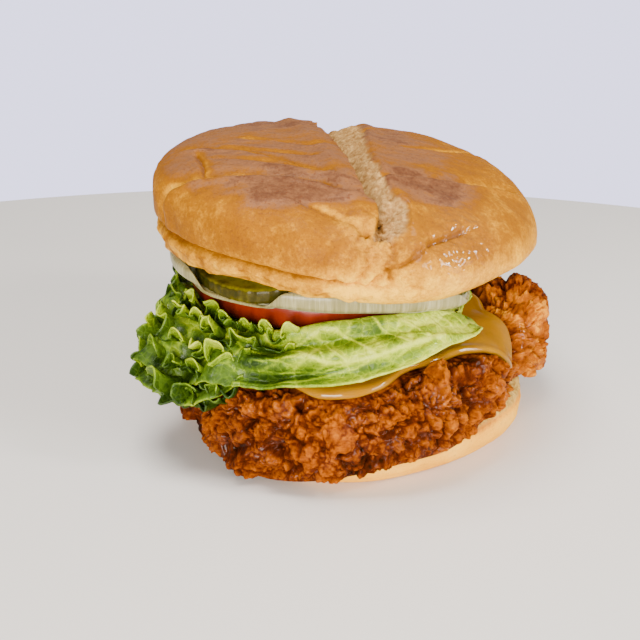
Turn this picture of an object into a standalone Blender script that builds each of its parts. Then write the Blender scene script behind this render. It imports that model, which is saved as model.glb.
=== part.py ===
# Fried chicken burger: two bun halves round a craggy fillet, cheese, lettuce, tomato, onion and pickle.
# Lengths are in millimetres and bearings in degrees from +X, anticlockwise; the front faces -Y.
import math

import bpy
import numpy as np
from mathutils import Vector, noise

MM = 0.001
AXIS_PLACE = (-2.3, 1.0)  # where the bun's axis stands, so that the whole is centred on the origin

# Heights of the layers at the middle of the stack
HEEL_TOP = 14.0
FILLET_TOP = 31.0
CHEESE_THICKNESS = 2.2
CHEESE_GAP = 1.0
LEAF_THICKNESS = 0.9
TOMATO_BOTTOM = 41.6
TOMATO_TOP = 48.9
ONION_TOP = 56.0
PICKLE_BOTTOM = 51.9
PICKLE_TOP = 56.2
CROWN_UNDERSIDE = 57.0
CROWN_PEAK = 87.6
GAP = 0.5
LEAN = 0.04  # how far the upper layers sink towards +X, per millimetre

# Outlines: a centre, and the radius at some bearings
HEEL_CENTRE = (3.0, -2.0)
HEEL_RADIUS = {
    0: 54.5, 60: 54, 120: 53, 180: 51, 225: 51.5, 262: 56, 278: 56, 300: 55.6, 318: 56.8, 336: 57.4, 350: 56,
}
HEEL_SIDE = [(2.6, 1.0), (0.8, 0.9), (0, 0.6), (0.4, 0.32), (1.8, 0.12), (3.6, 0.03), (5.5, 0.0)]
FILLET_CENTRE = (2.0, -1.0)
FILLET_RADIUS = {
    0: 64.5, 8: 66, 18: 64, 32: 58, 60: 59.5, 90: 61, 125: 58.5, 155: 56, 180: 55,
    215: 58.5, 228: 60, 245: 61, 262: 61.4, 285: 60, 300: 58.8, 315: 57, 328: 54.5, 337: 51.5, 346: 56,
}
FILLET_LOW_EDGE = {
    0: 10, 30: 11, 70: 12, 110: 8, 160: 6, 200: 5, 225: 2.2, 255: 2.0, 268: 4, 285: 8, 300: 9, 330: 14,
}
FILLET_CRAGS = [{"height": 1.9, "size": 13.0, "seed": 3.1}, {"height": 1.4, "size": 5.5, "seed": 8.7}]
FILLET_CURL = {"place": (59.0, 9.0), "size": 7.5, "rise": 9.0}
CHEESE_REACH = {
    10: 42, 30: 46, 60: 63, 100: 53, 150: 49, 185: 49, 225: 51, 250: 54, 266: 58.5, 285: 55, 305: 51,
    325: 51.5, 337: 60.5, 348: 48, 358: 43,
}
CHEESE_CORNERS = (337,)
FILLET_SPOKES = 60
TOMATO_CENTRE = (-6.0, -1.5)
TOMATO_RADIUS = {0: 40, 70: 41.5, 150: 41, 210: 42, 270: 40.5, 320: 40}
ONION_CENTRE = (-7.0, -0.5)
ONION_RADIUS = {
    0: 46.5, 60: 45.5, 120: 46.5, 180: 46.3, 235: 47.5, 270: 46, 290: 47.5, 305: 51, 318: 54, 335: 49,
}
ONION_RIM_SAG = 1.8
SLICE_SIDE = [(1.2, 1.0), (0.2, 0.82), (0.0, 0.5), (0.2, 0.18), (1.2, 0.0)]
PICKLES = {
    "pickle_front": {"centre": (-20.5, -28.0), "half_axes": (22.0, 17.0), "turn": -34.0},
    "pickle_right": {"centre": (23.0, -28.0), "half_axes": (18.5, 15.5), "turn": 25.0},
}

# Lettuce: each leaf is flat under the tomato, rises to a crest round it and then hangs over
LEAF_CENTRE = (-4.0, -1.0)
LEAVES = {
    "lettuce_upper": {
        "level": 39.4, "lean": LEAN, "spokes": 84,
        "rows": [0, 0.35, 0.6, 0.68, 0.75, 0.81, 0.87, 0.92, 0.96, 1.0],
        "crest_radius": {0: 42, 60: 44, 120: 45, 180: 46, 225: 46, 270: 45.3, 300: 45.3, 330: 43},
        "crest_height": {
            0: 39.6, 60: 41, 150: 41.6, 180: 41.8, 215: 41, 250: 41, 268: 42.5, 282: 46.4, 300: 48, 318: 48,
            332: 42,
        },
        "edge_radius": {
            0: 45.5, 40: 47, 60: 54, 90: 58, 120: 56, 150: 50.5, 172: 48.8, 188: 49, 196: 51.5, 203: 63,
            208: 67.5, 216: 65, 228: 62, 240: 59, 255: 57, 270: 57, 290: 57.5, 305: 57, 319: 56, 329: 47,
        },
        "edge_height": {
            0: 38.6, 40: 38.5, 60: 37.5, 90: 36, 120: 36, 150: 40, 172: 42, 196: 37, 203: 28, 208: 25.5,
            216: 26, 228: 27, 240: 29.5, 255: 31.4, 270: 33.4, 290: 38.4, 305: 41.5, 319: 42, 329: 40.5,
        },
        "ruffle": {0: 0.4, 60: 1.6, 120: 2.4, 170: 1.6, 205: 3.4, 235: 2.6, 262: 1.0, 300: 0.8, 320: 0.4},
    },
    "lettuce_lower": {
        "level": 36.0, "lean": 0.0, "spokes": 60,
        "rows": [0, 0.45, 0.7, 0.79, 0.87, 0.94, 1.0],
        "crest_radius": {0: 30, 90: 34, 180: 42, 225: 44, 270: 38},
        "crest_height": {0: 36, 180: 37.5, 225: 36.5, 270: 36},
        "edge_radius": {
            0: 34, 60: 36, 100: 42, 130: 46, 165: 46, 188: 47, 197: 51, 204: 66, 209: 68.5, 218: 66, 228: 64,
            236: 62, 246: 52, 270: 42, 320: 35,
        },
        "edge_height": {
            0: 36, 60: 36, 100: 36, 130: 36, 165: 37, 185: 36, 197: 33, 204: 23, 209: 21, 218: 20.8,
            228: 22.5, 236: 25, 246: 34,
            270: 36,
        },
        "ruffle": {0: 0.0, 100: 0.6, 160: 1.2, 205: 2.6, 230: 2.2, 250: 0.8, 280: 0.0},
    },
}
RUFFLE_COUNT = 17
INNER_WAVE = 0.8

# Crown: its plan, how square its shoulders are, where it is widest and how low its rim hangs
CROWN_RADIUS = {0: 59.6, 45: 60, 90: 59.5, 135: 59.5, 180: 58.3, 225: 57.8, 270: 59, 315: 59.6}
CROWN_SQUARENESS = {0: 1.98, 60: 2.4, 120: 2.8, 180: 2.95, 230: 3.0, 270: 2.5, 315: 2.15}
RIGHT_HALF_DROP = 1.7
CROWN_EQUATOR = {0: 61.5, 90: 66, 180: 69, 225: 68.5, 270: 65.5, 315: 63}
CROWN_RIM_DROP = {0: 1.6, 60: 1.2, 180: 0.0, 225: -1.4, 250: -0.8, 275: 0.6, 315: 1.2}
CROWN_RIM_INSET = 6.5
CROWN_SWELL = {"height": 0.7, "size": 24.0, "seed": 5.0}
CROWN_HOLLOW_INSET = 11.0
SPLIT = [
    (-12, 46), (-9, 30), (-5, 14), (-1.5, 0), (1, -14), (2.8, -27), (5, -36), (8.3, -41.5),
    (9.2, -46), (8.2, -52),
]
SPLIT_ENDS = (104, 277)
SPLIT_HALF_WIDTH = 3.6
SPLIT_DEPTH = 5.5
CREASES = [
    {"path": [(-50, -25.5), (-37, -27.8), (-18, -30.5), (-3, -36.5)], "half_width": 2.4, "depth": 1.3},
    {"path": [(-50, 0), (-40, -3.5), (-30, -8), (-20, -16), (-12, -23)], "half_width": 2.4, "depth": 0.9},
    {"path": [(9, -25), (19, -21), (33, -16.5), (46, -7)], "half_width": 2.6, "depth": 1.2},
    {"path": [(28, -46), (22.6, -50.8), (14.9, -55.8)], "half_width": 3.0, "depth": 1.8},
    {"path": [(-30, 46), (-14, 30), (4, 27), (22, 36)], "half_width": 2.6, "depth": 1.3},
    {"path": [(20, 8), (34, 14), (46, 24)], "half_width": 2.6, "depth": 1.0},
]
RIM_FOLD_HEIGHT = {150: 64, 180: 65.5, 215: 66.2, 245: 65.5, 265: 63.5, 280: 61.5, 320: 60}
RIM_FOLD_DEPTH = {60: 0.2, 140: 0.8, 185: 1.4, 230: 1.8, 262: 1.6, 285: 0.4, 330: 0.1}
RIM_FOLD_HALF_WIDTH = 2.2


def around(table, bearing):
    """Smooth closed curve through the values given at some bearings."""
    knots = np.array(sorted(table), float)
    values = np.array([table[k] for k in sorted(table)], float)
    knots = np.concatenate([knots[-2:] - 360, knots, knots[:3] + 360])
    values = np.concatenate([values[-2:], values, values[:3]])
    bearing = (np.asarray(bearing, float) - knots[2]) % 360 + knots[2]
    i = np.searchsorted(knots, bearing, side="right") - 1
    span = knots[i + 1] - knots[i]
    t = (bearing - knots[i]) / span
    slopes = np.gradient(values, knots)
    return (
        values[i] * (1 + 2 * t) * (1 - t) ** 2
        + slopes[i] * span * t * (1 - t) ** 2
        + values[i + 1] * t * t * (3 - 2 * t)
        + slopes[i + 1] * span * t * t * (t - 1)
    )


def ramp(x, low, high):
    """0 below low, 1 above high and smooth between."""
    t = np.clip((np.asarray(x, float) - low) / (high - low), 0, 1)
    return t * t * (3 - 2 * t)


def cloud(points, size, seed):
    """Cloudy noise of about -1 to 1, with its largest lumps `size` across."""
    shift = Vector((seed, 2 * seed, -seed))
    flat = np.asarray(points, float).reshape(-1, 3)
    values = [noise.fractal(Vector(p) / size + shift, 1.0, 2.0, 2) for p in flat]
    return np.array(values).reshape(np.asarray(points).shape[:-1])


def path_distance(x, y, path):
    """Plan distance from each point to a line of points."""
    best = np.full(np.shape(x), np.inf)
    for (ax, ay), (bx, by) in zip(path[:-1], path[1:]):
        length2 = (bx - ax) ** 2 + (by - ay) ** 2
        t = np.clip(((x - ax) * (bx - ax) + (y - ay) * (by - ay)) / length2, 0, 1)
        best = np.minimum(best, np.hypot(x - ax - t * (bx - ax), y - ay - t * (by - ay)))
    return best


def spread(count):
    """Evenly spaced bearings."""
    return np.arange(count) * 360 / count


def crowded(count, places, width=14.0, crowding=1.9):
    """Bearings that stand closer together round some places."""
    fine = np.arange(0, 360, 0.25)
    density = np.ones_like(fine)
    for place in places:
        density += crowding * np.exp(-((((fine - place + 180) % 360 - 180) / width) ** 2))
    passed = np.concatenate([[0], np.cumsum(density)])
    return np.interp(np.arange(count) / count, passed / passed[-1], np.append(fine, 360))


def ways(bearings):
    """Plan directions of some bearings."""
    return np.stack([np.cos(np.radians(bearings)), np.sin(np.radians(bearings))], -1)


def surface(name, base_color, roughness):
    material = bpy.data.materials.new(name)
    material.use_nodes = True
    shader = material.node_tree.nodes["Principled BSDF"]
    shader.inputs["Base Color"].default_value = (*base_color, 1.0)
    shader.inputs["Roughness"].default_value = roughness
    shader.inputs["Metallic"].default_value = 0.0
    return material


def add_object(name, points, faces, material):
    mesh = bpy.data.meshes.new(name)
    placed = (np.asarray(points) + (*AXIS_PLACE, 0.0)) * MM
    mesh.from_pydata(placed.tolist(), [], faces)
    mesh.materials.append(material)
    mesh.shade_smooth()
    mesh.set_sharp_from_angle(angle=math.radians(50))
    piece = bpy.data.objects.new(name, mesh)
    bpy.context.scene.collection.objects.link(piece)
    return piece


def skinned_solid(name, rings, material):
    """A solid skinned over rings of points; the first and the last ring are each one point repeated."""
    middle = rings[1:-1]
    count = rings.shape[1]
    points = [rings[0, 0], *middle.reshape(-1, 3), rings[-1, 0]]
    last = len(points) - 1
    tail = last - count
    faces = []
    for j in range(count):
        k = (j + 1) % count
        faces.append((0, 1 + j, 1 + k))
        faces.append((tail + j, last, tail + k))
        for i in range(len(middle) - 1):
            a = 1 + i * count
            b = a + count
            faces.append((a + j, b + j, b + k))
            faces.append((a + j, b + k, a + k))
    return add_object(name, points, faces, material)


def leaf_solid(name, sheet, material):
    """A thin leaf: a round sheet of points [ring, spoke] given a thickness, with both faces split alike."""
    across = np.roll(sheet, -1, axis=1) - np.roll(sheet, 1, axis=1)
    normal = np.cross(np.gradient(sheet, axis=0), across)
    normal[0] = (0, 0, 1)
    normal *= LEAF_THICKNESS / 2 / np.linalg.norm(normal, axis=2, keepdims=True)
    rows, spokes = sheet.shape[:2]
    upper, under = sheet + normal, sheet - normal
    flip = (rows - 1) * spokes + 1
    points = [upper[0, 0], *upper[1:].reshape(-1, 3), under[0, 0], *under[1:].reshape(-1, 3)]
    top = []
    for j in range(spokes):
        k = (j + 1) % spokes
        top.append((0, 1 + j, 1 + k))
        for i in range(rows - 2):
            a = 1 + i * spokes
            b = a + spokes
            top.append((a + j, b + j, b + k))
            top.append((a + j, b + k, a + k))
    faces = top + [tuple(v + flip for v in reversed(face)) for face in top]
    rim = flip - spokes
    for j in range(spokes):
        k = (j + 1) % spokes
        faces.append((rim + j, rim + j + flip, rim + k + flip))
        faces.append((rim + j, rim + k + flip, rim + k))
    return add_object(name, points, faces, material)


def slab_rings(centre, reach, bearings, top, bottom, side, top_rings):
    """Rings of a slab: its top from the middle out, its side as (inset, share of height), its underside."""
    rings = []
    for share in np.linspace(0, 1, top_rings, endpoint=False):
        spot = centre + ways(bearings) * ((reach - side[0][0]) * share)[:, None]
        rings.append(np.column_stack([spot, top(*spot.T)]))
    for inset, height in side:
        spot = centre + ways(bearings) * (reach - inset)[:, None]
        low = bottom(*spot.T)
        rings.append(np.column_stack([spot, low + (top(*spot.T) - low) * height]))
    for share in (0.5, 0.0):
        spot = centre + ways(bearings) * ((reach - side[-1][0]) * share)[:, None]
        rings.append(np.column_stack([spot, bottom(*spot.T)]))
    return np.array(rings)


def level_at(height, lean=LEAN):
    """A plane at a height over the stack's middle that sinks towards +X."""
    return lambda x, y: height - lean * x + 0.0 * y


def curve_along(section, per_span=12):
    """Catmull-Rom curve through each bearing's control points (r, z), and the distance along it."""
    ahead = 2 * section[:, :1] - section[:, 1:2]
    behind = 2 * section[:, -1:] - section[:, -2:-1]
    knots = np.concatenate([ahead, section, behind], 1)
    t = np.linspace(0, 1, per_span, endpoint=False)[None, :, None]
    spans = []
    for i in range(1, knots.shape[1] - 2):
        a, b, c, d = (knots[:, i + k : i + k + 1] for k in (-1, 0, 1, 2))
        bend = 2 * a - 5 * b + 4 * c - d
        twist = 3 * b - a - 3 * c + d
        spans.append(0.5 * (2 * b + (c - a) * t + bend * t**2 + twist * t**3))
    curve = np.concatenate([*spans, section[:, -1:]], 1)
    steps = np.linalg.norm(np.diff(curve, axis=1), axis=2)
    return curve, np.concatenate([np.zeros((len(curve), 1)), np.cumsum(steps, 1)], 1)


def on_curve(curve, length, wanted):
    """Points (r, z) and outward normals at some distances along each bearing's curve."""
    spots = np.empty((*wanted.shape, 2))
    heading = np.empty_like(spots)
    tangent = np.gradient(curve, axis=1)
    for j in range(len(curve)):
        for axis in (0, 1):
            spots[j, :, axis] = np.interp(wanted[j], length[j], curve[j, :, axis])
            heading[j, :, axis] = np.interp(wanted[j], length[j], tangent[j, :, axis])
    outward = np.stack([-heading[..., 1], heading[..., 0]], -1)
    return spots, outward / np.linalg.norm(outward, axis=2, keepdims=True)


def turned(section, centre, bearings):
    """Sections [spoke, ring, (r, z)] about a centre as rings of points."""
    plan = np.asarray(centre) + ways(bearings)[:, None, :] * section[..., :1]
    return np.concatenate([plan, section[..., 1:]], -1).transpose(1, 0, 2)


def make_heel():
    bearings = spread(40)
    top, bottom = level_at(HEEL_TOP, 0.0), level_at(0.0, 0.0)
    rings = slab_rings(HEEL_CENTRE, around(HEEL_RADIUS, bearings), bearings, top, bottom, HEEL_SIDE, 3)
    return skinned_solid("bun_heel", rings, surface("bun_heel", (0.72, 0.48, 0.24), 0.6))


def fillet_top(x, y):
    """Height of the fillet's top before its crags, with its curled-up end at the right."""
    swell = 0.5 * np.sin(x / 15 + 1) * np.cos(y / 17) * ramp(np.hypot(x, y), 20, 45)
    cx, cy = FILLET_CURL["place"]
    curl = FILLET_CURL["rise"] * np.exp(-((x - cx) ** 2 + (y - cy) ** 2) / (2 * FILLET_CURL["size"] ** 2))
    droop = 2.2 * ramp(-x - y, 45, 85)
    return FILLET_TOP + swell + curl - droop


def heel_clear_radius(bearings):
    """Distance from the fillet's centre to just outside the heel's rim."""
    fine = np.arange(0, 360, 0.5)
    rim = np.asarray(HEEL_CENTRE) + ways(fine) * around(HEEL_RADIUS, fine)[:, None] - FILLET_CENTRE
    seen = np.degrees(np.arctan2(rim[:, 1], rim[:, 0])) % 360
    order = np.argsort(seen)
    return np.interp(bearings, seen[order], np.hypot(*rim.T)[order], period=360) + 2 * GAP


def fillet_section(bearings):
    """Control points (r, z) of the fillet's outside from its middle to its lower edge, and its low edge."""
    reach = around(FILLET_RADIUS, bearings)
    seat = HEEL_TOP + GAP
    spare = reach - heel_clear_radius(bearings)
    low = seat - ramp(spare, 1.0, 3.6) * (seat - np.minimum(around(FILLET_LOW_EDGE, bearings), seat))
    tuck = np.clip((spare - 1.0) / 2.6, 0.15, 1.0)

    def level(r):
        return fillet_top(*(FILLET_CENTRE + ways(bearings) * r[:, None]).T)

    brow = level(reach - 9)
    rows = [
        (0 * reach, level(0 * reach)),
        (0.35 * reach, level(0.35 * reach)),
        (0.65 * reach, level(0.65 * reach)),
        (reach - 9, brow),
        (reach - 3, brow - 3),
        (reach, low + 0.52 * (brow - low)),
        (reach - 0.9 * tuck, low + 3.2),
        (reach - 2.6 * tuck, low),
    ]
    return np.array(rows).transpose(2, 0, 1), low


def make_fillet():
    bearings = crowded(FILLET_SPOKES, CHEESE_CORNERS)
    section, low = fillet_section(bearings)
    curve, length = curve_along(section)
    shares = np.array([0, 0.28, 0.42, 0.5, 0.57, 0.64, 0.7, 0.75, 0.79, 0.83, 0.87, 0.91, 0.955, 1.0])
    wanted = length[:, -1:] * shares
    spots, outward = on_curve(curve, length, wanted)
    points = turned(spots, FILLET_CENTRE, bearings).transpose(1, 0, 2)
    crags = sum(crag["height"] * cloud(points, crag["size"], crag["seed"]) for crag in FILLET_CRAGS)
    cheese_edge = around(CHEESE_REACH, bearings)
    cheese_edge = np.maximum.reduce([np.roll(cheese_edge, k) for k in (-2, -1, 0, 1, 2)])[:, None]
    crags *= ramp(wanted, cheese_edge + 3, cheese_edge + 8) * (1 - ramp(shares, 0.92, 1.0))
    outside = turned(spots + outward * crags[..., None], FILLET_CENTRE, bearings)
    seat = np.full_like(low, HEEL_TOP + GAP)
    wall = np.minimum(heel_clear_radius(bearings), section[:, -1, 0] - 0.8)
    under = [(wall, np.minimum(low + 0.8, seat)), (wall, seat), (0.5 * wall, seat), (0 * wall, seat)]
    underside = turned(np.array(under).transpose(2, 0, 1), FILLET_CENTRE, bearings)
    rings = np.concatenate([outside, underside])
    return skinned_solid("fried_chicken", rings, surface("fried_crust", (0.55, 0.2, 0.05), 0.5))


def make_cheese():
    bearings = crowded(FILLET_SPOKES, CHEESE_CORNERS)
    curve, length = curve_along(fillet_section(bearings)[0])
    reach = around(CHEESE_REACH, bearings)[:, None]
    inner, outward = on_curve(curve, length, reach * np.array([0, 0.4, 0.62, 0.71, 0.79, 0.87, 0.95]))
    edge, edge_way = on_curve(curve, length, reach)
    over = inner + outward * (CHEESE_GAP + CHEESE_THICKNESS)
    nose = edge + edge_way * (CHEESE_GAP + CHEESE_THICKNESS / 2)
    below = (inner + outward * CHEESE_GAP)[:, ::-1]
    rings = turned(np.concatenate([over, nose, below], 1), FILLET_CENTRE, bearings)
    return skinned_solid("cheese_slice", rings, surface("melted_cheese", (0.83, 0.37, 0.02), 0.35))


def make_leaf(name, leaf):
    bearings = spread(leaf["spokes"])
    crest_r, crest_z = around(leaf["crest_radius"], bearings), around(leaf["crest_height"], bearings)
    edge_r, edge_z = around(leaf["edge_radius"], bearings), around(leaf["edge_height"], bearings)
    level = np.full_like(crest_r, leaf["level"])
    rows = [
        (0 * crest_r, level),
        (0.5 * crest_r, level),
        (crest_r - 5, level),
        (crest_r, crest_z),
        (crest_r + 0.55 * (edge_r - crest_r), crest_z + 0.42 * (edge_z - crest_z)),
        (edge_r, edge_z),
    ]
    curve, length = curve_along(np.array(rows).transpose(2, 0, 1))
    spots, outward = on_curve(curve, length, length[:, -1:] * np.array(leaf["rows"]))
    overhang = ramp(spots[..., 0], crest_r[:, None] - 3, edge_r[:, None])
    turn = np.radians(bearings)
    phase = (RUFFLE_COUNT * turn + 0.9 * np.sin(2 * turn + 1) + 0.6 * np.sin(5 * turn))[:, None]
    ruffle = around(leaf["ruffle"], bearings)[:, None] * overhang
    spots = spots + outward * (ruffle * np.sin(phase))[..., None]
    swing = np.degrees(0.3 * ruffle * np.cos(phase) / np.maximum(spots[..., 0], 1))
    sheet = np.empty((spots.shape[1], len(bearings), 3))
    for i in range(len(sheet)):
        sheet[i, :, :2] = LEAF_CENTRE + ways(bearings + swing[:, i]) * spots[:, i, :1]
        sheet[i, :, 2] = spots[:, i, 1]
    x, y = sheet[..., 0], sheet[..., 1]
    sheet[..., 2] += INNER_WAVE * np.sin(x / 8) * np.cos(y / 9) * (1 - overhang.T) - leaf["lean"] * x
    return leaf_solid(name, sheet, surface(name, (0.3, 0.45, 0.08), 0.4))


def make_tomato():
    bearings = spread(40)
    reach = around(TOMATO_RADIUS, bearings)
    top, bottom = level_at(TOMATO_TOP), level_at(TOMATO_BOTTOM)
    rings = slab_rings(TOMATO_CENTRE, reach, bearings, top, bottom, SLICE_SIDE, 2)
    return skinned_solid("tomato_slice", rings, surface("tomato_flesh", (0.62, 0.1, 0.02), 0.3))


def outside_pickle(pickle, x, y):
    """About how far a place is outside a pickle slice's outline."""
    turn = math.radians(pickle["turn"])
    dx, dy = x - pickle["centre"][0], y - pickle["centre"][1]
    along = dx * math.cos(turn) + dy * math.sin(turn)
    across = dy * math.cos(turn) - dx * math.sin(turn)
    a, b = pickle["half_axes"]
    return (np.hypot(along / a, across / b) - 1) * (a + b) / 2


def onion_top(x, y):
    """Top of the onion slice, which sags under the two pickles."""
    outside = np.minimum(*(outside_pickle(pickle, x, y) for pickle in PICKLES.values()))
    sag = (ONION_TOP - PICKLE_BOTTOM + GAP) * (1 - ramp(outside, 3.0, 7.0))
    sag = np.maximum(sag, ONION_RIM_SAG * ramp(np.hypot(x, y), 43, 50))
    return ONION_TOP - sag - LEAN * x


def make_onion():
    bearings = spread(46)
    reach = around(ONION_RADIUS, bearings)
    rings = slab_rings(ONION_CENTRE, reach, bearings, onion_top, level_at(TOMATO_TOP + GAP), SLICE_SIDE, 8)
    return skinned_solid("onion_slice", rings, surface("onion", (0.72, 0.72, 0.6), 0.35))


def make_pickle(name, pickle):
    bearings = spread(28)
    a, b = pickle["half_axes"]
    along, across = ways(bearings - pickle["turn"]).T
    reach = a * b / np.hypot(b * along, a * across)
    top, bottom = level_at(PICKLE_TOP), level_at(PICKLE_BOTTOM)
    rings = slab_rings(pickle["centre"], reach, bearings, top, bottom, SLICE_SIDE, 1)
    return skinned_solid(name, rings, surface(name, (0.28, 0.28, 0.04), 0.3))


def crown_base(bearing, phi):
    """The crown's skin before creases: phi is 0 at the peak, 90 where it is widest and 180 at the rim."""
    reach = around(CROWN_RADIUS, bearing)
    power = 2 / around(CROWN_SQUARENESS, bearing)
    equator = around(CROWN_EQUATOR, bearing)
    rim = CROWN_UNDERSIDE - around(CROWN_RIM_DROP, bearing)
    s, c = np.sin(np.radians(phi)), np.cos(np.radians(phi))
    upper = phi <= 90
    r = np.where(upper, reach * np.abs(s) ** power, reach - CROWN_RIM_INSET * (1 - s))
    z = np.where(upper, equator + (CROWN_PEAK - equator) * np.abs(c) ** power, equator + (equator - rim) * c)
    plan = ways(bearing) * r[..., None]
    z = z - LEAN * plan[..., 0] - RIGHT_HALF_DROP * ramp(plan[..., 0], -6, 10) * upper * np.abs(c)
    return np.concatenate([plan, z[..., None]], -1)


def crown_relief(points):
    """How far the skin is pressed in at some of its points."""
    x, y, z = np.moveaxis(points, -1, 0)
    press = SPLIT_DEPTH * (1 - ramp(path_distance(x, y, SPLIT), 0.2 * SPLIT_HALF_WIDTH, SPLIT_HALF_WIDTH))
    for crease in CREASES:
        nearness = 1 - ramp(path_distance(x, y, crease["path"]), 0, crease["half_width"])
        press = np.maximum(press, crease["depth"] * nearness)
    bearing = np.degrees(np.arctan2(y, x))
    fold = np.abs(z - around(RIM_FOLD_HEIGHT, bearing))
    press = press * ramp(z, 66, 72)
    return press + around(RIM_FOLD_DEPTH, bearing) * (1 - ramp(fold, 0, RIM_FOLD_HALF_WIDTH))


def make_crown():
    bearings = crowded(66, SPLIT_ENDS)
    phis = np.concatenate([[0, 9, 18, 26, 34, 42, 50, 57, 63, 69, 75, 82], np.linspace(90, 180, 7)])
    grid_b, grid_p = np.meshgrid(bearings, phis)
    skin = crown_base(grid_b, grid_p)
    along = np.gradient(skin, axis=0)
    across = np.roll(skin, -1, axis=1) - np.roll(skin, 1, axis=1)
    outward = np.cross(along, across)
    outward[0] = (0, 0, 1)
    outward /= np.linalg.norm(outward, axis=2, keepdims=True)
    swell = CROWN_SWELL["height"] * cloud(skin, CROWN_SWELL["size"], CROWN_SWELL["seed"])
    skin = skin + outward * ((swell - crown_relief(skin)) * ramp(-grid_p, -175, -150))[..., None]
    hollow = around(CROWN_RADIUS, bearings) - CROWN_HOLLOW_INSET
    underside = []
    for share in (1.0, 0.5, 0.0):
        plan = ways(bearings) * (hollow * share)[:, None]
        underside.append(np.column_stack([plan, CROWN_UNDERSIDE - LEAN * plan[:, 0]]))
    rings = np.concatenate([skin, underside])
    return skinned_solid("bun_crown", rings, surface("bun_crown", (0.72, 0.4, 0.14), 0.4))


def main():
    for old in list(bpy.data.objects):
        bpy.data.objects.remove(old, do_unlink=True)
    make_heel()
    make_fillet()
    make_cheese()
    for name, leaf in LEAVES.items():
        make_leaf(name, leaf)
    make_tomato()
    make_onion()
    for name, pickle in PICKLES.items():
        make_pickle(name, pickle)
    make_crown()


if __name__ == "__main__":
    main()
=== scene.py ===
import math

import bmesh
import bpy
import numpy as np
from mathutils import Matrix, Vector, noise


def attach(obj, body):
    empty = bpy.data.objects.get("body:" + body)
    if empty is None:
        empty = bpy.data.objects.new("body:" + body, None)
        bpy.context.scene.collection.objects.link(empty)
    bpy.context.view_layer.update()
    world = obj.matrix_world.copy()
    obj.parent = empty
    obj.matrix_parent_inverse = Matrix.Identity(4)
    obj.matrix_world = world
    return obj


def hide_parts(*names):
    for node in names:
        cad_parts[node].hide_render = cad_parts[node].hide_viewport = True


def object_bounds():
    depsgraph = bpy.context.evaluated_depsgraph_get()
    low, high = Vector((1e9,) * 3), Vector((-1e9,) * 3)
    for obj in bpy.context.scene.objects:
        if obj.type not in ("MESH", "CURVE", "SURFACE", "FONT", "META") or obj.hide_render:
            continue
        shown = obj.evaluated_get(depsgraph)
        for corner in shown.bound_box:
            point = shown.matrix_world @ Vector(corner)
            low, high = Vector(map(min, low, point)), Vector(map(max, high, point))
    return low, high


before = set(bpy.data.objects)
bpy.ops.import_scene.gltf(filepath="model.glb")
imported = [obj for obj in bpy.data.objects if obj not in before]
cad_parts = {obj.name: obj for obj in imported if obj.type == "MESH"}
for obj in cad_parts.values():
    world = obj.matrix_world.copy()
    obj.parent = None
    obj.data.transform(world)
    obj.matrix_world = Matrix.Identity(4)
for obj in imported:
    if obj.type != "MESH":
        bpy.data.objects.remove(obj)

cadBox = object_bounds()
millimetre = 0.001
axisPlace = (-2.3, 1.0)  # where the bun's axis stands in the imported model
stackLean = 0.04  # how far the upper layers sink towards +X, per millimetre
spanPoints = 12  # points from one knot of a curve to the next


# Small tools for shapes

def aroundTable(table, bearing):  # smooth closed curve through the values given at some bearings
    knots = np.array(sorted(table), float)
    values = np.array([table[k] for k in sorted(table)], float)
    knots = np.concatenate([knots[-2:] - 360, knots, knots[:3] + 360])
    values = np.concatenate([values[-2:], values, values[:3]])
    bearing = (np.asarray(bearing, float) - knots[2]) % 360 + knots[2]
    i = np.searchsorted(knots, bearing, side="right") - 1
    span = knots[i + 1] - knots[i]
    t = (bearing - knots[i]) / span
    slopes = np.gradient(values, knots)
    start = values[i] * (1 + 2 * t) * (1 - t) ** 2 + slopes[i] * span * t * (1 - t) ** 2
    return start + values[i + 1] * t * t * (3 - 2 * t) + slopes[i + 1] * span * t * t * (t - 1)


def ramp(x, low, high):  # 0 below low, 1 above high and smooth between
    t = np.clip((np.asarray(x, float) - low) / (high - low), 0, 1)
    return t * t * (3 - 2 * t)


def hump(distance, width):  # 1 at no distance, falling smoothly to nothing
    return np.exp(-(np.asarray(distance, float) / width) ** 2)


def humpAt(points, place, size):
    return hump(np.linalg.norm(points - place, axis=-1), size)


def ways(bearings):
    return np.stack([np.cos(np.radians(bearings)), np.sin(np.radians(bearings))], -1)


def spread(count):
    return np.arange(count) * 360 / count


def cloud(points, size, seed, octaves=2):  # cloudy noise of about -1 to 1, largest lumps of that size
    shift = Vector((seed, 2 * seed, -seed))
    flat = np.asarray(points, float).reshape(-1, 3) / size
    values = [noise.fractal(Vector(p) + shift, 1.0, 2.0, octaves) for p in flat.tolist()]
    return np.array(values).reshape(np.asarray(points).shape[:-1])


def cloudShift(points, size, seeds, octaves=2):  # one cloudy noise for each seed, to shift the points by
    return np.stack([cloud(points, size, seed, octaves) for seed in seeds], -1)


def cells(points, size, seed):  # distance to the nearest cell centre, and how much further the next one is
    shift = Vector((seed, -seed, 3 * seed))
    flat = np.asarray(points, float).reshape(-1, 3) / size
    found = np.array([noise.voronoi(Vector(p) + shift)[0][:2] for p in flat.tolist()])
    shape = np.asarray(points).shape[:-1]
    return found[:, 0].reshape(shape), (found[:, 1] - found[:, 0]).reshape(shape)


def pathDistance(x, y, path):  # plan distance to a line of points, positive on the line's left
    best, side = np.full(np.shape(x), np.inf), np.ones(np.shape(x))
    for (ax, ay), (bx, by) in zip(path[:-1], path[1:]):
        dx, dy = bx - ax, by - ay
        t = np.clip(((x - ax) * dx + (y - ay) * dy) / (dx * dx + dy * dy), 0, 1)
        away = np.hypot(x - ax - t * dx, y - ay - t * dy)
        nearer = away < best
        best = np.where(nearer, away, best)
        side = np.where(nearer, np.sign(dx * (y - ay) - dy * (x - ax)), side)
    return best, side


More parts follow.
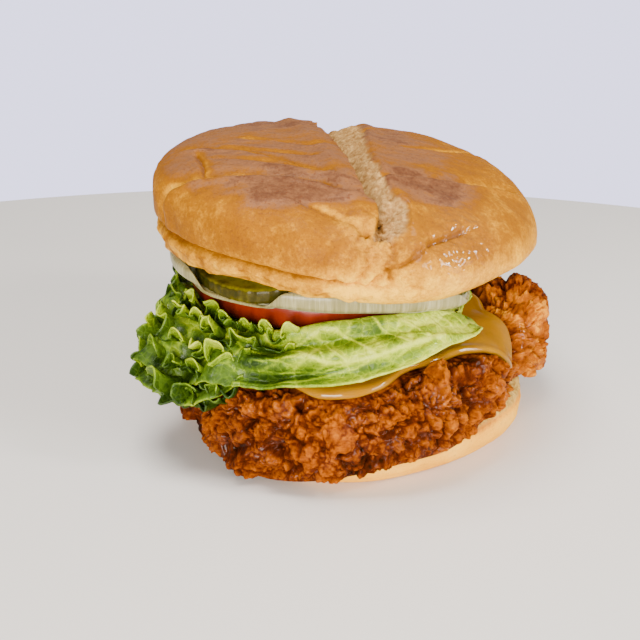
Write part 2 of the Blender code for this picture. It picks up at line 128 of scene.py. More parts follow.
def lineDistance(points, path):  # distance in space to a line of points
    best = np.full(points.shape[:-1], np.inf)
    for a, b in zip(np.array(path[:-1], float), np.array(path[1:], float)):
        t = np.clip(((points - a) @ (b - a)) / ((b - a) @ (b - a)), 0, 1)
        best = np.minimum(best, np.linalg.norm(points - a - t[..., None] * (b - a), axis=-1))
    return best


def outwardOf(grid, wrap=True):  # unit normals of a grid of points
    along = np.gradient(grid, axis=0)
    if wrap:
        across = np.roll(grid, -1, axis=1) - np.roll(grid, 1, axis=1)
    else:
        across = np.gradient(grid, axis=1)
    outward = np.cross(along, across)
    length = np.linalg.norm(outward, axis=2, keepdims=True)
    return outward / np.maximum(length, 1e-9)


def curveAlong(section, perSpan=spanPoints):  # smooth curves through rows of points, and distances along them
    ahead = 2 * section[:, :1] - section[:, 1:2]
    behind = 2 * section[:, -1:] - section[:, -2:-1]
    knots = np.concatenate([ahead, section, behind], 1)
    t = np.linspace(0, 1, perSpan, endpoint=False)[None, :, None]
    spans = []
    for i in range(1, knots.shape[1] - 2):
        a, b, c, d = (knots[:, i + k : i + k + 1] for k in (-1, 0, 1, 2))
        bend = 2 * a - 5 * b + 4 * c - d
        twist = 3 * b - a - 3 * c + d
        spans.append(0.5 * (2 * b + (c - a) * t + bend * t**2 + twist * t**3))
    curve = np.concatenate([*spans, section[:, -1:]], 1)
    steps = np.linalg.norm(np.diff(curve, axis=1), axis=2)
    return curve, np.concatenate([np.zeros((len(curve), 1)), np.cumsum(steps, 1)], 1)


def onCurve(curve, length, wanted):  # points (r, z) and outward directions at some distances along
    spots = np.empty((*wanted.shape, 2))
    heading = np.empty_like(spots)
    tangent = np.gradient(curve, axis=1)
    for j in range(len(curve)):
        for axis in (0, 1):
            spots[j, :, axis] = np.interp(wanted[j], length[j], curve[j, :, axis])
            heading[j, :, axis] = np.interp(wanted[j], length[j], tangent[j, :, axis])
    outward = np.stack([-heading[..., 1], heading[..., 0]], -1)
    return spots, outward / np.linalg.norm(outward, axis=2, keepdims=True)


def turned(section, centre, bearings):  # sections [spoke, ring, (r, z)] as rings of points
    plan = np.asarray(centre) + ways(bearings)[:, None, :] * section[..., :1]
    return np.concatenate([plan, section[..., 1:]], -1).transpose(1, 0, 2)


def gridFaces(ids, wrap):
    if wrap:
        ids = np.concatenate([ids, ids[:, :1]], 1)
    quads = np.stack([ids[:-1, :-1], ids[1:, :-1], ids[1:, 1:], ids[:-1, 1:]], -1).reshape(-1, 4)
    return [face for face in (list(dict.fromkeys(quad)) for quad in quads.tolist()) if len(face) > 2]


def keptInside(points, soft=0.0012):  # eases points, in metres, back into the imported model's box
    low, high = np.array(cadBox[0]), np.array(cadBox[1])
    above, below = points - (high - soft), (low + soft) - points
    below[:, 2] = -1
    points = np.where(above > 0, high - soft + soft * np.tanh(above / soft), points)
    return np.where(below > 0, low + soft - soft * np.tanh(below / soft), points)


def addPiece(name, points, faces, marks, material):
    mesh = bpy.data.meshes.new(name)
    placed = keptInside((np.asarray(points) + (*axisPlace, 0.0)) * millimetre)
    mesh.from_pydata(placed.tolist(), [], faces)
    for mark, values in marks.items():
        mesh.attributes.new(mark, "FLOAT", "POINT").data.foreach_set("value", np.asarray(values, np.float32))
    mesh.materials.append(material)
    mesh.shade_smooth()
    piece = bpy.data.objects.new(name, mesh)
    bpy.context.scene.collection.objects.link(piece)
    return piece


def ringSolid(name, rings, marks, material):  # closed solid; its first and last ring are each one point
    rows, count = rings.shape[:2]
    ids = np.arange(rows * count).reshape(rows, count) - count + 1
    ids[0], ids[-1] = 0, (rows - 2) * count + 1

    def pack(grid):
        return np.concatenate([grid[:1, 0], grid[1:-1].reshape(-1, *grid.shape[2:]), grid[-1:, 0]])

    packed = {mark: pack(values) for mark, values in marks.items()}
    return addPiece(name, pack(rings), gridFaces(ids, True), packed, material)


def thinPiece(name, sheets, thickness, material):  # closed leaves; a sheet is (grid, marks, it goes round)
    points, faces, marks, start = [], [], {}, 0
    for grid, sheetMarks, wrap in sheets:
        normal = outwardOf(grid, wrap)
        if wrap:
            normal[0] = (0, 0, 1)
        rows, count = grid.shape[:2]
        size = rows * count
        top = np.arange(size).reshape(rows, count) + start
        under = top + size
        if wrap:
            top[0], under[0] = top[0, 0], under[0, 0]
        faces += gridFaces(top, wrap) + gridFaces(under[:, ::-1], wrap)
        faces += gridFaces(np.stack([top[-1], under[-1]]), wrap)
        if not wrap:
            faces += gridFaces(np.stack([under[0], top[0]]), False)
            faces += gridFaces(np.stack([under[:, 0], top[:, 0]])[::-1], False)
            faces += gridFaces(np.stack([top[:, -1], under[:, -1]])[::-1], False)
        for sign in (1, -1):
            points.append((grid + sign * thickness / 2 * normal).reshape(-1, 3))
            for mark, values in sheetMarks.items():
                marks.setdefault(mark, []).append(values.ravel())
        start += 2 * size
    joined = {mark: np.concatenate(values) for mark, values in marks.items()}
    return tidied(addPiece(name, np.concatenate(points), faces, joined, material))


def tidied(piece):  # drops points that no face uses
    used = np.zeros(len(piece.data.vertices), bool)
    corners = np.empty(len(piece.data.loops), int)
    piece.data.loops.foreach_get("vertex_index", corners)
    used[corners] = True
    if used.all():
        return piece
    work = bmesh.new()
    work.from_mesh(piece.data)
    bmesh.ops.delete(work, geom=[v for v in work.verts if not v.link_faces], context="VERTS")
    work.to_mesh(piece.data)
    work.free()
    return piece


def slabRings(centre, reach, bearings, top, bottom, side, topRings):
    rings = []
    for share in np.linspace(0, 1, topRings, endpoint=False):
        spot = centre + ways(bearings) * ((reach - side[0][0]) * share)[:, None]
        rings.append(np.column_stack([spot, top(*spot.T)]))
    for inset, height in side:
        spot = centre + ways(bearings) * (reach - inset)[:, None]
        low = bottom(*spot.T)
        rings.append(np.column_stack([spot, low + (top(*spot.T) - low) * height]))
    for share in (0.7, 0.4, 0.0):
        spot = centre + ways(bearings) * ((reach - side[-1][0]) * share)[:, None]
        rings.append(np.column_stack([spot, bottom(*spot.T)]))
    return np.array(rings)


def finerSide(side, count):  # more points along a side's (inset, height) outline
    knots = np.array(side, float)[None]
    curve, length = curveAlong(knots)
    spots, _ = onCurve(curve, length, length[:, -1:] * np.linspace(0, 1, count))
    return [tuple(p) for p in spots[0]]


def levelAt(height, lean=stackLean):
    return lambda x, _: height - lean * x


# Small tools for materials

def addNode(tree, kind, values=None, **settings):
    made = tree.nodes.new(kind)
    for key, value in settings.items():
        setattr(made, key, value)
    for key, value in (values or {}).items():
        if isinstance(value, bpy.types.NodeSocket):
            tree.links.new(value, made.inputs[key])
        else:
            made.inputs[key].default_value = value
    return made


def markOf(tree, name):
    return addNode(tree, "ShaderNodeAttribute", attribute_name=name).outputs["Fac"]


def grainOf(tree, size, detail=3.0, roughness=0.55, vector=None):  # noise with lumps of that many millimetres
    place = vector or addNode(tree, "ShaderNodeTexCoord").outputs["Object"]
    return addNode(tree, "ShaderNodeTexNoise", {
        "Vector": place, "Scale": 1 / (size * millimetre), "Detail": detail, "Roughness": roughness}).outputs[0]


def mathOf(tree, kind, a, b):
    return addNode(tree, "ShaderNodeMath", {0: a, 1: b}, operation=kind).outputs[0]


def rangeOf(tree, value, low, high, start=0.0, end=1.0):
    return addNode(tree, "ShaderNodeMapRange", {
        "Value": value, "From Min": low, "From Max": high, "To Min": start, "To Max": end}).outputs[0]


def variedBy(tree, value, size, reach, detail=3.0, roughness=0.55):  # the value, up to that reach more or less
    grain = grainOf(tree, size, detail, roughness)
    return mathOf(tree, "ADD", value, rangeOf(tree, grain, 0.3, 0.7, -reach, reach))


def shadesOf(tree, value, stops):  # colour along a scale; stops are (place, (r, g, b))
    made = addNode(tree, "ShaderNodeValToRGB", {"Fac": value})
    while len(made.color_ramp.elements) < len(stops):
        made.color_ramp.elements.new(0.5)
    for element, (place, colour) in zip(made.color_ramp.elements, stops):
        element.position, element.color = place, (*colour, 1)
    return made.outputs[0]


def mixOf(tree, share, a, b):
    made = addNode(tree, "ShaderNodeMix", data_type="RGBA")
    for index, value in ((0, share), (6, a), (7, b)):
        if isinstance(value, bpy.types.NodeSocket):
            tree.links.new(value, made.inputs[index])
        else:
            made.inputs[index].default_value = value if index == 0 else (*value, 1)
    return made.outputs[2]


def finishOf(name, **values):  # a material with its shader; values are the shader's own sockets
    material = bpy.data.materials.new(name)
    material.use_nodes = True
    tree = material.node_tree
    shader = tree.nodes["Principled BSDF"]
    for key, value in values.items():
        shader.inputs[key.replace("_", " ")].default_value = value
    return material, tree, shader


def bumpOf(tree, shader, height, distance, strength=1.0):
    made = addNode(tree, "ShaderNodeBump", {
        "Height": height, "Distance": distance * millimetre, "Strength": strength})
    tree.links.new(made.outputs[0], shader.inputs["Normal"])


def scatterOver(name, ground, shape, values, material):  # small pieces strewn with Geometry Nodes
    tree = bpy.data.node_groups.new(name + "Nodes", "GeometryNodeTree")
    tree.interface.new_socket("Geometry", in_out="INPUT", socket_type="NodeSocketGeometry")
    tree.interface.new_socket("Geometry", in_out="OUTPUT", socket_type="NodeSocketGeometry")
    for label in ("Per square metre", "Smallest", "Largest", "Gap"):
        tree.interface.new_socket(label, in_out="INPUT", socket_type="NodeSocketFloat")
    start, end = tree.nodes.new("NodeGroupInput"), tree.nodes.new("NodeGroupOutput")
    where = addNode(tree, "GeometryNodeInputNamedAttribute", {"Name": values["mark"]}, data_type="FLOAT")
    strewn = addNode(tree, "GeometryNodeDistributePointsOnFaces", {
        "Mesh": start.outputs["Geometry"], "Distance Min": start.outputs["Gap"],
        "Density Max": start.outputs["Per square metre"], "Density Factor": where.outputs[0],
        "Seed": values["seed"]}, distribute_method="POISSON")
    size = addNode(tree, "FunctionNodeRandomValue", {"Seed": values["seed"] + 1}, data_type="FLOAT")
    tree.links.new(start.outputs["Smallest"], size.inputs[2])
    tree.links.new(start.outputs["Largest"], size.inputs[3])
    spin = addNode(tree, "FunctionNodeRandomValue", {
        1: (values["turn"],) * 3, "Seed": values["seed"] + 2}, data_type="FLOAT_VECTOR")
    turn = addNode(tree, "FunctionNodeRotateRotation", {0: strewn.outputs["Rotation"], 1: spin.outputs[0]},
                   rotation_space="LOCAL")
    source = addNode(tree, "GeometryNodeObjectInfo", {"Object": shape})
    placed = addNode(tree, "GeometryNodeInstanceOnPoints", {
        "Points": strewn.outputs["Points"], "Instance": source.outputs["Geometry"],
        "Rotation": turn.outputs[0], "Scale": size.outputs[1]})
    real = addNode(tree, "GeometryNodeRealizeInstances", {0: placed.outputs[0]})
    painted = addNode(tree, "GeometryNodeSetMaterial", {"Geometry": real.outputs[0], "Material": material})
    tree.links.new(painted.outputs[0], end.inputs[0])
    host = bpy.data.objects.new(name + "Host", ground.data.copy())
    bpy.context.scene.collection.objects.link(host)
    modifier = host.modifiers.new("strewn", "NODES")
    modifier.node_group = tree
    sizes = {"Per square metre": values["density"], "Smallest": values["smallest"] * millimetre,
             "Largest": values["largest"] * millimetre, "Gap": values["gap"] * millimetre}
    for item in tree.interface.items_tree:
        if item.in_out == "INPUT" and item.name in sizes:
            modifier[item.identifier] = sizes[item.name]
    ready = host.evaluated_get(bpy.context.evaluated_depsgraph_get())
    mesh = bpy.data.meshes.new_from_object(ready)
    spots = np.empty(len(mesh.vertices) * 3)
    mesh.vertices.foreach_get("co", spots)
    mesh.vertices.foreach_set("co", keptInside(spots.reshape(-1, 3)).ravel())
    mesh.shade_smooth()
    bpy.data.objects.remove(host)
    piece = bpy.data.objects.new(name, mesh)
    bpy.context.scene.collection.objects.link(piece)
    return piece


def lumpShape(name, stretch, roughness, seed):  # a small rough lump, one unit across
    work = bmesh.new()
    bmesh.ops.create_icosphere(work, subdivisions=1, radius=0.5)
    for vertex in work.verts:
        knob = 1 + roughness * noise.noise(vertex.co * 3.1 + Vector((seed, 0, 0)))
        vertex.co = Vector(c * knob * s for c, s in zip(vertex.co, stretch))
    mesh = bpy.data.meshes.new(name)
    work.to_mesh(mesh)
    work.free()
    return bpy.data.objects.new(name, mesh)


def settle(piece, slot, *nodes):
    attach(piece, "root")
    if nodes:
        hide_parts(*nodes)


# Camera, at the photograph's place
cameraSetup = {"lens": 56.25, "pitch": 66.0, "place": (-9.5, -297.2, 160.3)}
camera = bpy.data.objects.new("camera", bpy.data.cameras.new("camera"))
bpy.context.scene.collection.objects.link(camera)
camera.data.sensor_width = 36.0
camera.data.lens = cameraSetup["lens"]
camera.data.clip_start, camera.data.clip_end = 0.01, 20.0
camera.location = [c * millimetre for c in cameraSetup["place"]]
camera.rotation_euler = (math.radians(cameraSetup["pitch"]), 0, 0)
bpy.context.scene.camera = camera
print("camera set")

# Floor and light
studio = {
    "floor": (0.70, 0.655, 0.61), "floorCentre": (-0.026, -0.24), "floorRadius": 0.485,
    "floorSides": 256, "aim": (0, 0, 0.04),
    "backdrop": (1.9, 1.85, 2.6), "air": (0.92, 0.95, 1.0), "airStrength": 0.42,
    "front": {"place": (-0.12, -0.62, 0.15), "size": 0.3, "power": 7.4, "colour": (1.0, 0.95, 0.88)},
    "over": {"place": (-0.12, -0.02, 0.75), "size": 0.34, "power": 7.8, "colour": (1.0, 0.98, 0.95)},
    "side": {"place": (0.5, -0.36, 0.22), "size": 0.2, "power": 3.4, "colour": (1.0, 0.96, 0.92)},
    "spark": {"place": (0.5, -0.2, 0.42), "size": 0.1, "power": 2.6, "colour": (1.0, 0.99, 0.97)},
}


def addLight(name, light):
    lamp = bpy.data.lights.new(name, "AREA")
    lamp.size, lamp.energy, lamp.color = light["size"], light["power"], light["colour"]
    lit = bpy.data.objects.new(name, lamp)
    bpy.context.scene.collection.objects.link(lit)
    lit.location = light["place"]
    lit.rotation_euler = (Vector(studio["aim"]) - Vector(light["place"])).to_track_quat("-Z", "Y").to_euler()


def makeWorld():  # the air lights softly; the wall behind is a paler lavender grey
    world = bpy.data.worlds.new("studio")
    world.use_nodes = True
    tree = world.node_tree
    air = tree.nodes["Background"]
    air.inputs["Color"].default_value = (*studio["air"], 1)
    air.inputs["Strength"].default_value = studio["airStrength"]
    wall = addNode(tree, "ShaderNodeBackground", {"Color": (*studio["backdrop"], 1)})
    seen = addNode(tree, "ShaderNodeLightPath").outputs["Is Camera Ray"]
    both = addNode(tree, "ShaderNodeMixShader", {0: seen, 1: air.outputs[0], 2: wall.outputs[0]})
    tree.links.new(both.outputs[0], tree.nodes["World Output"].inputs["Surface"])
    bpy.context.scene.world = world


def makeFloor():  # a round table top
    material, _, shader = finishOf("floor", Roughness=0.5)
    shader.inputs["Base Color"].default_value = (*studio["floor"], 1)
    rim = ways(spread(studio["floorSides"])) * studio["floorRadius"] + studio["floorCentre"]
    mesh = bpy.data.meshes.new("floor")
    mesh.from_pydata([(x, y, 0.0) for x, y in rim.tolist()], [], [list(range(len(rim)))])
    mesh.materials.append(material)
    table = bpy.data.objects.new("floor", mesh)
    bpy.context.scene.collection.objects.link(table)


for lightName in ("front", "over", "side", "spark"):
    addLight(lightName, studio[lightName])
makeWorld()
makeFloor()
print("floor and lights set")

# Heel, the lower bun half
heel = {
    "centre": (3.0, -2.0), "top": 14.0, "spokes": 420, "sideRings": 60,
    "radius": {0: 54, 60: 54, 120: 53, 180: 51, 225: 51.5, 255: 55, 268: 55.6, 285: 54, 300: 53.2, 318: 54,
               336: 55.8, 350: 55.2},
    "side": [(2.6, 1.0), (0.8, 0.9), (0, 0.6), (0.4, 0.32), (1.8, 0.12), (3.6, 0.03), (5.5, 0.0)],
    "wrinkle": 0.55, "crumbRoughness": 0.7, "topRings": 14,
}


def heelFinish():
    material, tree, shader = finishOf("heelCrust", Roughness=0.7, Specular_IOR_Level=0.08)
    bake = variedBy(tree, markOf(tree, "bake"), 9, 0.1)
    crust = shadesOf(tree, variedBy(tree, bake, 1.1, 0.16, 5.0, 0.7), [
        (0.0, (0.95, 0.50, 0.06)), (0.4, (0.92, 0.42, 0.02)), (0.75, (0.74, 0.28, 0.004)),
        (1.0, (0.45, 0.13, 0.002))])
    specks = rangeOf(tree, grainOf(tree, 0.9, 2.0), 0.60, 0.72)
    crust = mixOf(tree, mathOf(tree, "MULTIPLY", specks, 0.45), crust, (0.42, 0.20, 0.07))
    crumb = shadesOf(tree, grainOf(tree, 2.2, 5.0, 0.7), [
        (0.3, (0.18, 0.07, 0.01)), (0.45, (0.46, 0.26, 0.05)), (0.7, (0.72, 0.48, 0.14))])
    tree.links.new(mixOf(tree, markOf(tree, "crumb"), crust, crumb), shader.inputs["Base Color"])
    bumpOf(tree, shader, grainOf(tree, 0.9, 6.0, 0.7), 0.45, 0.9)
    return material


def makeHeel():
    bearings = spread(heel["spokes"])
    side = finerSide(heel["side"], heel["sideRings"])
    rings = slabRings(heel["centre"], aroundTable(heel["radius"], bearings), bearings,
                      levelAt(heel["top"], 0.0), levelAt(0.0, 0.0), side, heel["topRings"])
    outward = outwardOf(rings)
    height = rings[..., 2]
    onSide = ramp(height, 0.3, 2.5)
    crumb = ramp(height, 10.2, 12.4)
    wrinkle = heel["wrinkle"] * cloud(rings * (1, 1, 2.5), 9.0, 4.0, 3) * onSide * (1 - crumb)
    pores, edges = cells(rings, 1.7, 2.0)
    rough = heel["crumbRoughness"] * (ramp(pores, 0.1, 0.6) - 0.7 + 0.8 * cloud(rings, 3.0, 6.0, 3)) * crumb
    rings = rings + outward * np.minimum(wrinkle + rough, 0.25)[..., None]
    rings[..., 2] = np.clip(rings[..., 2], 0, heel["top"])
    bake = 0.35 + 0.5 * ramp(height, 8.0, 10.6) - 0.15 * ramp(height, 3.0, 7.0) + 0.25 * cloud(rings, 14.0, 1.0)
    marks = {"bake": np.clip(bake, 0, 1), "crumb": crumb}
    return ringSolid("bunHeel", rings, marks, heelFinish())


bunHeel = makeHeel()
settle(bunHeel, "bun_heel", "bun_heel")
print("heel made")

# Fillet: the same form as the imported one, with its crags, crevices and nodules
fillet = {
    "centre": (2.0, -1.0), "top": 31.0, "seat": 14.5, "heelGap": 1.0,
    "spokes": 620, "frontCrowding": 0.42, "hiddenRings": 14, "shownRings": 138,
    "radius": {0: 64.5, 8: 66, 18: 64, 32: 58, 60: 59.5, 90: 61, 125: 58.5, 155: 56, 180: 54.5, 215: 57,
               228: 59, 245: 61, 262: 61.4, 285: 60, 300: 58.8, 315: 57, 328: 54.5, 337: 51.5, 346: 56},
    "lowEdge": {0: 10, 30: 11, 70: 12, 110: 8, 160: 6, 200: 5, 225: 2.2, 248: 2.0, 258: 3.6, 268: 5.8,
                285: 8.4, 300: 8.8, 315: 10.5, 330: 13.0},
    "crags": [(1.9, 13.0, 3.1), (1.4, 5.5, 8.7)],  # height, size and seed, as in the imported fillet
    "lumps": [(2.2, 11.0, 1.3), (1.0, 5.0, 5.1), (0.85, 2.7, 9.2), (0.4, 1.5, 3.3)],  # height, size and seed
    "flakes": 0.75, "curlPlace": (59.0, 9.0), "curlSize": 7.5, "curlRise": 9.0,
    "lobePlace": (56.0, -2.0), "lobeSize": 13.0,  # the paler lobe at the right
}
cheese = {
    "thickness": 1.9, "gap": 1.0, "spokes": 520, "rings": 46,
    "reach": {10: 42, 30: 46, 60: 63, 100: 53, 150: 49, 185: 49, 225: 51, 250: 54, 261: 57.6, 270: 57.6,
              278: 54.0, 286: 49, 300: 48, 312: 48, 324: 50.5, 333: 57, 342: 51.5, 352: 45, 2: 43},
    "waver": [(0.5, 9, 1.0), (0.35, 17, 0.0)],  # size, count and start of the edge's waves
}


def heelClearRadius(bearings):
    fine = np.arange(0, 360, 0.5)
    reach = aroundTable(heel["radius"], fine)[:, None]
    rim = np.asarray(heel["centre"]) + ways(fine) * reach - fillet["centre"]
    seen = np.degrees(np.arctan2(rim[:, 1], rim[:, 0])) % 360
    order = np.argsort(seen)
    return np.interp(bearings, seen[order], np.hypot(*rim.T)[order], period=360) + fillet["heelGap"]


def filletTop(x, y):
    swell = 0.5 * np.sin(x / 15 + 1) * np.cos(y / 17) * ramp(np.hypot(x, y), 20, 45)
    cx, cy = fillet["curlPlace"]
    curl = fillet["curlRise"] * hump(np.hypot(x - cx, y - cy), math.sqrt(2) * fillet["curlSize"])
    return fillet["top"] + swell + curl - 2.2 * ramp(-x - y, 45, 85)


def filletSection(bearings):
    reach = aroundTable(fillet["radius"], bearings)
    spare = reach - heelClearRadius(bearings)
    seat = fillet["seat"]
    low = seat - ramp(spare, 1.0, 3.6) * (seat - np.minimum(aroundTable(fillet["lowEdge"], bearings), seat))
    tuck = np.clip((spare - 1.0) / 2.6, 0.15, 1.0)

    def level(r):
        return filletTop(*(fillet["centre"] + ways(bearings) * r[:, None]).T)

    brow = level(reach - 9)
    rows = [
        *((share * reach, level(share * reach)) for share in (0, 0.35, 0.65)),
        (reach - 9, brow), (reach - 3, brow - 3), (reach, low + 0.52 * (brow - low)),
        (reach - 0.9 * tuck, low + 3.2), (reach - 2.6 * tuck, low),
    ]
    return np.array(rows).transpose(2, 0, 1), low


def crustFinish():
    material, tree, shader = finishOf(
        "friedCrust", Specular_IOR_Level=0.1, Specular_Tint=(1.0, 0.5, 0.12, 1.0), Coat_Roughness=0.08)
    # The fried crust's colour scale; its mark carries real browning and painted shade in the crevices
    colour = shadesOf(tree, variedBy(tree, markOf(tree, "fry"), 1.6, 0.16, 5.0, 0.65), [
        (0.0, (0.68, 0.25, 0.006)), (0.16, (0.40, 0.105, 0.0005)), (0.42, (0.235, 0.049, 0.0002)),
        (0.68, (0.08, 0.010, 0.0003)), (1.0, (0.012, 0.002, 0.0005))])
    pepper = mathOf(tree, "MULTIPLY", rangeOf(tree, grainOf(tree, 0.6, 1.0), 0.68, 0.74), 0.6)
    tree.links.new(mixOf(tree, pepper, colour, (0.04, 0.009, 0.002)), shader.inputs["Base Color"])
    tree.links.new(rangeOf(tree, grainOf(tree, 5.0, 3.0), 0.35, 0.65, 0.35, 0.75), shader.inputs["Roughness"])
    tree.links.new(rangeOf(tree, grainOf(tree, 8.0, 4.0), 0.48, 0.66, 0.0, 0.3), shader.inputs["Coat Weight"])
    bumpOf(tree, shader, grainOf(tree, 0.6, 6.0, 0.75), 0.28, 0.9)
    return material


def crowded(count, share):  # bearings that lie closer together at the front, where the camera stands
    turn = np.arange(count) / count
    return (360 * turn + np.degrees(share * np.sin(2 * math.pi * (turn - 0.25)))) % 360


def makeFillet():
    bearings = crowded(fillet["spokes"], fillet["frontCrowding"])
    section, low = filletSection(bearings)
    curve, length = curveAlong(section)
    shares = np.concatenate([np.linspace(0, 0.5, fillet["hiddenRings"], endpoint=False),
                             np.linspace(0.5, 1, fillet["shownRings"])])
    wanted = length[:, -1:] * shares
    spots, outward = onCurve(curve, length, wanted)
    base = turned(spots, fillet["centre"], bearings)
    edge = aroundTable(cheese["reach"], bearings)
    under = ramp(wanted.T, edge - 1.0, edge + 4.0)
    hem = 1 - ramp(shares, 0.972, 1.0)[:, None]
    large = sum(height * cloud(base, size, seed) for height, size, seed in fillet["crags"])
    fine, hollows = 0.0, 0.0
    for height, size, seed in fillet["lumps"]:  # rounded lumps with sharp crevices between them
        bent = base + 0.7 * size * cloudShift(base, 0.9 * size, (seed + 2.0, seed + 4.0, seed + 6.0))
        middle, border = cells(bent, size, seed)
        craggy = 0.4 + 0.95 * ramp(cloud(base, 14.0, seed + 11), -0.4, 0.4)
        dome = 0.95 - 1.9 * np.clip(middle, 0, 0.9) ** 2 - 0.25 * (1 - ramp(border, 0, 0.2))
        fine = fine + height * craggy * dome
        crevice = (1 - ramp(border, 0.0, 0.22)) * min(1.0, height) * ramp(middle, 0.3, 0.7)
        hollows = np.maximum(hollows, crevice)
    fine = fine + 0.7 * cloud(base, 6.0, 51.0, 4) - 0.5
    brow = 2.4 * hump(wanted.T - edge - 4.5, 3.2) * ramp(bearings, 283, 292) * (1 - ramp(bearings, 327, 333))
    lift = (large + fine + brow) * under * hem
    flakes = fillet["flakes"] * cloudShift(base, 3.0, (31.0, 37.0, 41.0))
    crusted = base + turned(outward, (0, 0), bearings) * lift[..., None] + flakes * (under * hem)[..., None]
    seat = np.full_like(low, fillet["seat"])
    wall = np.minimum(heelClearRadius(bearings), section[:, -1, 0] - 0.8)
    undersideRows = [(wall, np.minimum(low + 0.8, seat)), (wall, seat), (0.5 * wall, seat), (0 * wall, seat)]
    underside = turned(np.array(undersideRows).transpose(2, 0, 1), fillet["centre"], bearings)
    rings = np.concatenate([crusted, underside])
    lobeX, lobeY = fillet["lobePlace"]
    lobe = hump(np.hypot(base[..., 0] - lobeX, base[..., 1] - lobeY), fillet["lobeSize"])
    lobe = lobe * ramp(-base[..., 1], -9, 0)
    patches = cloud(base, 16.0, 21.0, 3)
    # How fried the crust looks, with painted light and shade: darker in the crevices between lumps and a little
    # lighter on the lumps' tops, besides real browner and paler patches
    fry = 0.44 - 0.05 * fine + 0.36 * hollows + 0.20 * ramp(patches, 0.05, 0.5)
    fry = fry - 0.03 * ramp(-patches, 0.1, 0.6)
    lobe = lobe * (1 - 0.9 * ramp(base[..., 2], 34, 38.5))
    fry = fry - 0.42 * lobe - 0.06 * ramp(base[..., 0], 15, 40)
    marks = {"fry": np.clip(np.concatenate([fry, np.repeat(fry[-1:], len(underside), 0)]), 0, 1),
             "nodule": np.concatenate([under * hem, np.zeros((len(underside), len(bearings)))])}
    return ringSolid("friedChicken", rings, marks, crustFinish())


friedChicken = makeFillet()
settle(friedChicken, "fried_crust", "fried_chicken")
print("fillet made")

# Crust crumbs, strewn over the fillet
crumbs = {"mark": "nodule", "density": 40000, "smallest": 0.4, "largest": 1.2, "gap": 2.0, "seed": 11,
          "turn": 6.3}  # the density is per square metre, and the turn in radians
crumbMaterial = friedChicken.data.materials[0]
crumbShape = lumpShape("crumbShape", (1.0, 0.8, 0.7), 0.9, 3.0)
crustCrumbs = scatterOver("crustCrumbs", friedChicken, crumbShape, crumbs, crumbMaterial)
settle(crustCrumbs, "fried_crust")
print("crumbs strewn")


# Cheese, draped over the fillet
def cheeseFinish():
    material, tree, shader = finishOf(
        "meltedCheese", Roughness=0.3, Specular_IOR_Level=0.05, Specular_Tint=(1.0, 0.62, 0.05, 1.0),
        Coat_Roughness=0.06, Coat_IOR=1.8)
    tree.links.new(shadesOf(tree, grainOf(tree, 12.0, 2.0), [
        (0.3, (0.26, 0.105, 0.0)), (0.7, (0.34, 0.150, 0.0))]), shader.inputs["Base Color"])
    moist = rangeOf(tree, grainOf(tree, 7.0, 2.0), 0.35, 0.55, 0.1, 1.0)
    tree.links.new(mathOf(tree, "MULTIPLY", moist, markOf(tree, "rim")), shader.inputs["Coat Weight"])
    bumpOf(tree, shader, grainOf(tree, 4.0, 2.0), 0.3, 0.5)
    return material


def makeCheese():
    bearings = spread(cheese["spokes"])
    curve, length = curveAlong(filletSection(bearings)[0])
    reach = aroundTable(cheese["reach"], bearings)[:, None]
    turn = np.radians(bearings)[:, None]
    for size, count, start in cheese["waver"]:
        reach = reach + size * np.sin(count * turn + start)
    shares = np.concatenate([np.linspace(0, 0.6, 6, endpoint=False), np.linspace(0.6, 1, cheese["rings"])])
    inner, outward = onCurve(curve, length, reach * shares)
    middle = cheese["gap"] + cheese["thickness"] / 2
    near = (1 - shares) * reach
    lip = cheese["thickness"] / 2
    half = np.sqrt(np.clip(1 - np.clip(1 - near / lip, 0, 1) ** 2, 0, 1)) * lip + 0.25 * hump(near - 1.6, 1.2)
    over = inner + outward * (middle + half)[..., None]
    below = inner + outward * (middle - np.minimum(half, lip))[..., None]
    rings = turned(np.concatenate([over, below[:, -2::-1]], 1), fillet["centre"], bearings)
    wave = 0.35 * cloud(rings, 12.0, 14.0)
    rings[..., 2] += wave * ramp(np.linspace(0, 1, len(rings)), 0.0, 0.3)[:, None]
    rim = hump(near - 2.2, 2.0)
    marks = {"rim": np.concatenate([rim, 0 * rim[:, -2::-1]], 1).T}
    return ringSolid("cheeseSlice", rings, marks, cheeseFinish())


cheeseSlice = makeCheese()
settle(cheeseSlice, "melted_cheese", "cheese_slice")
print("cheese made")

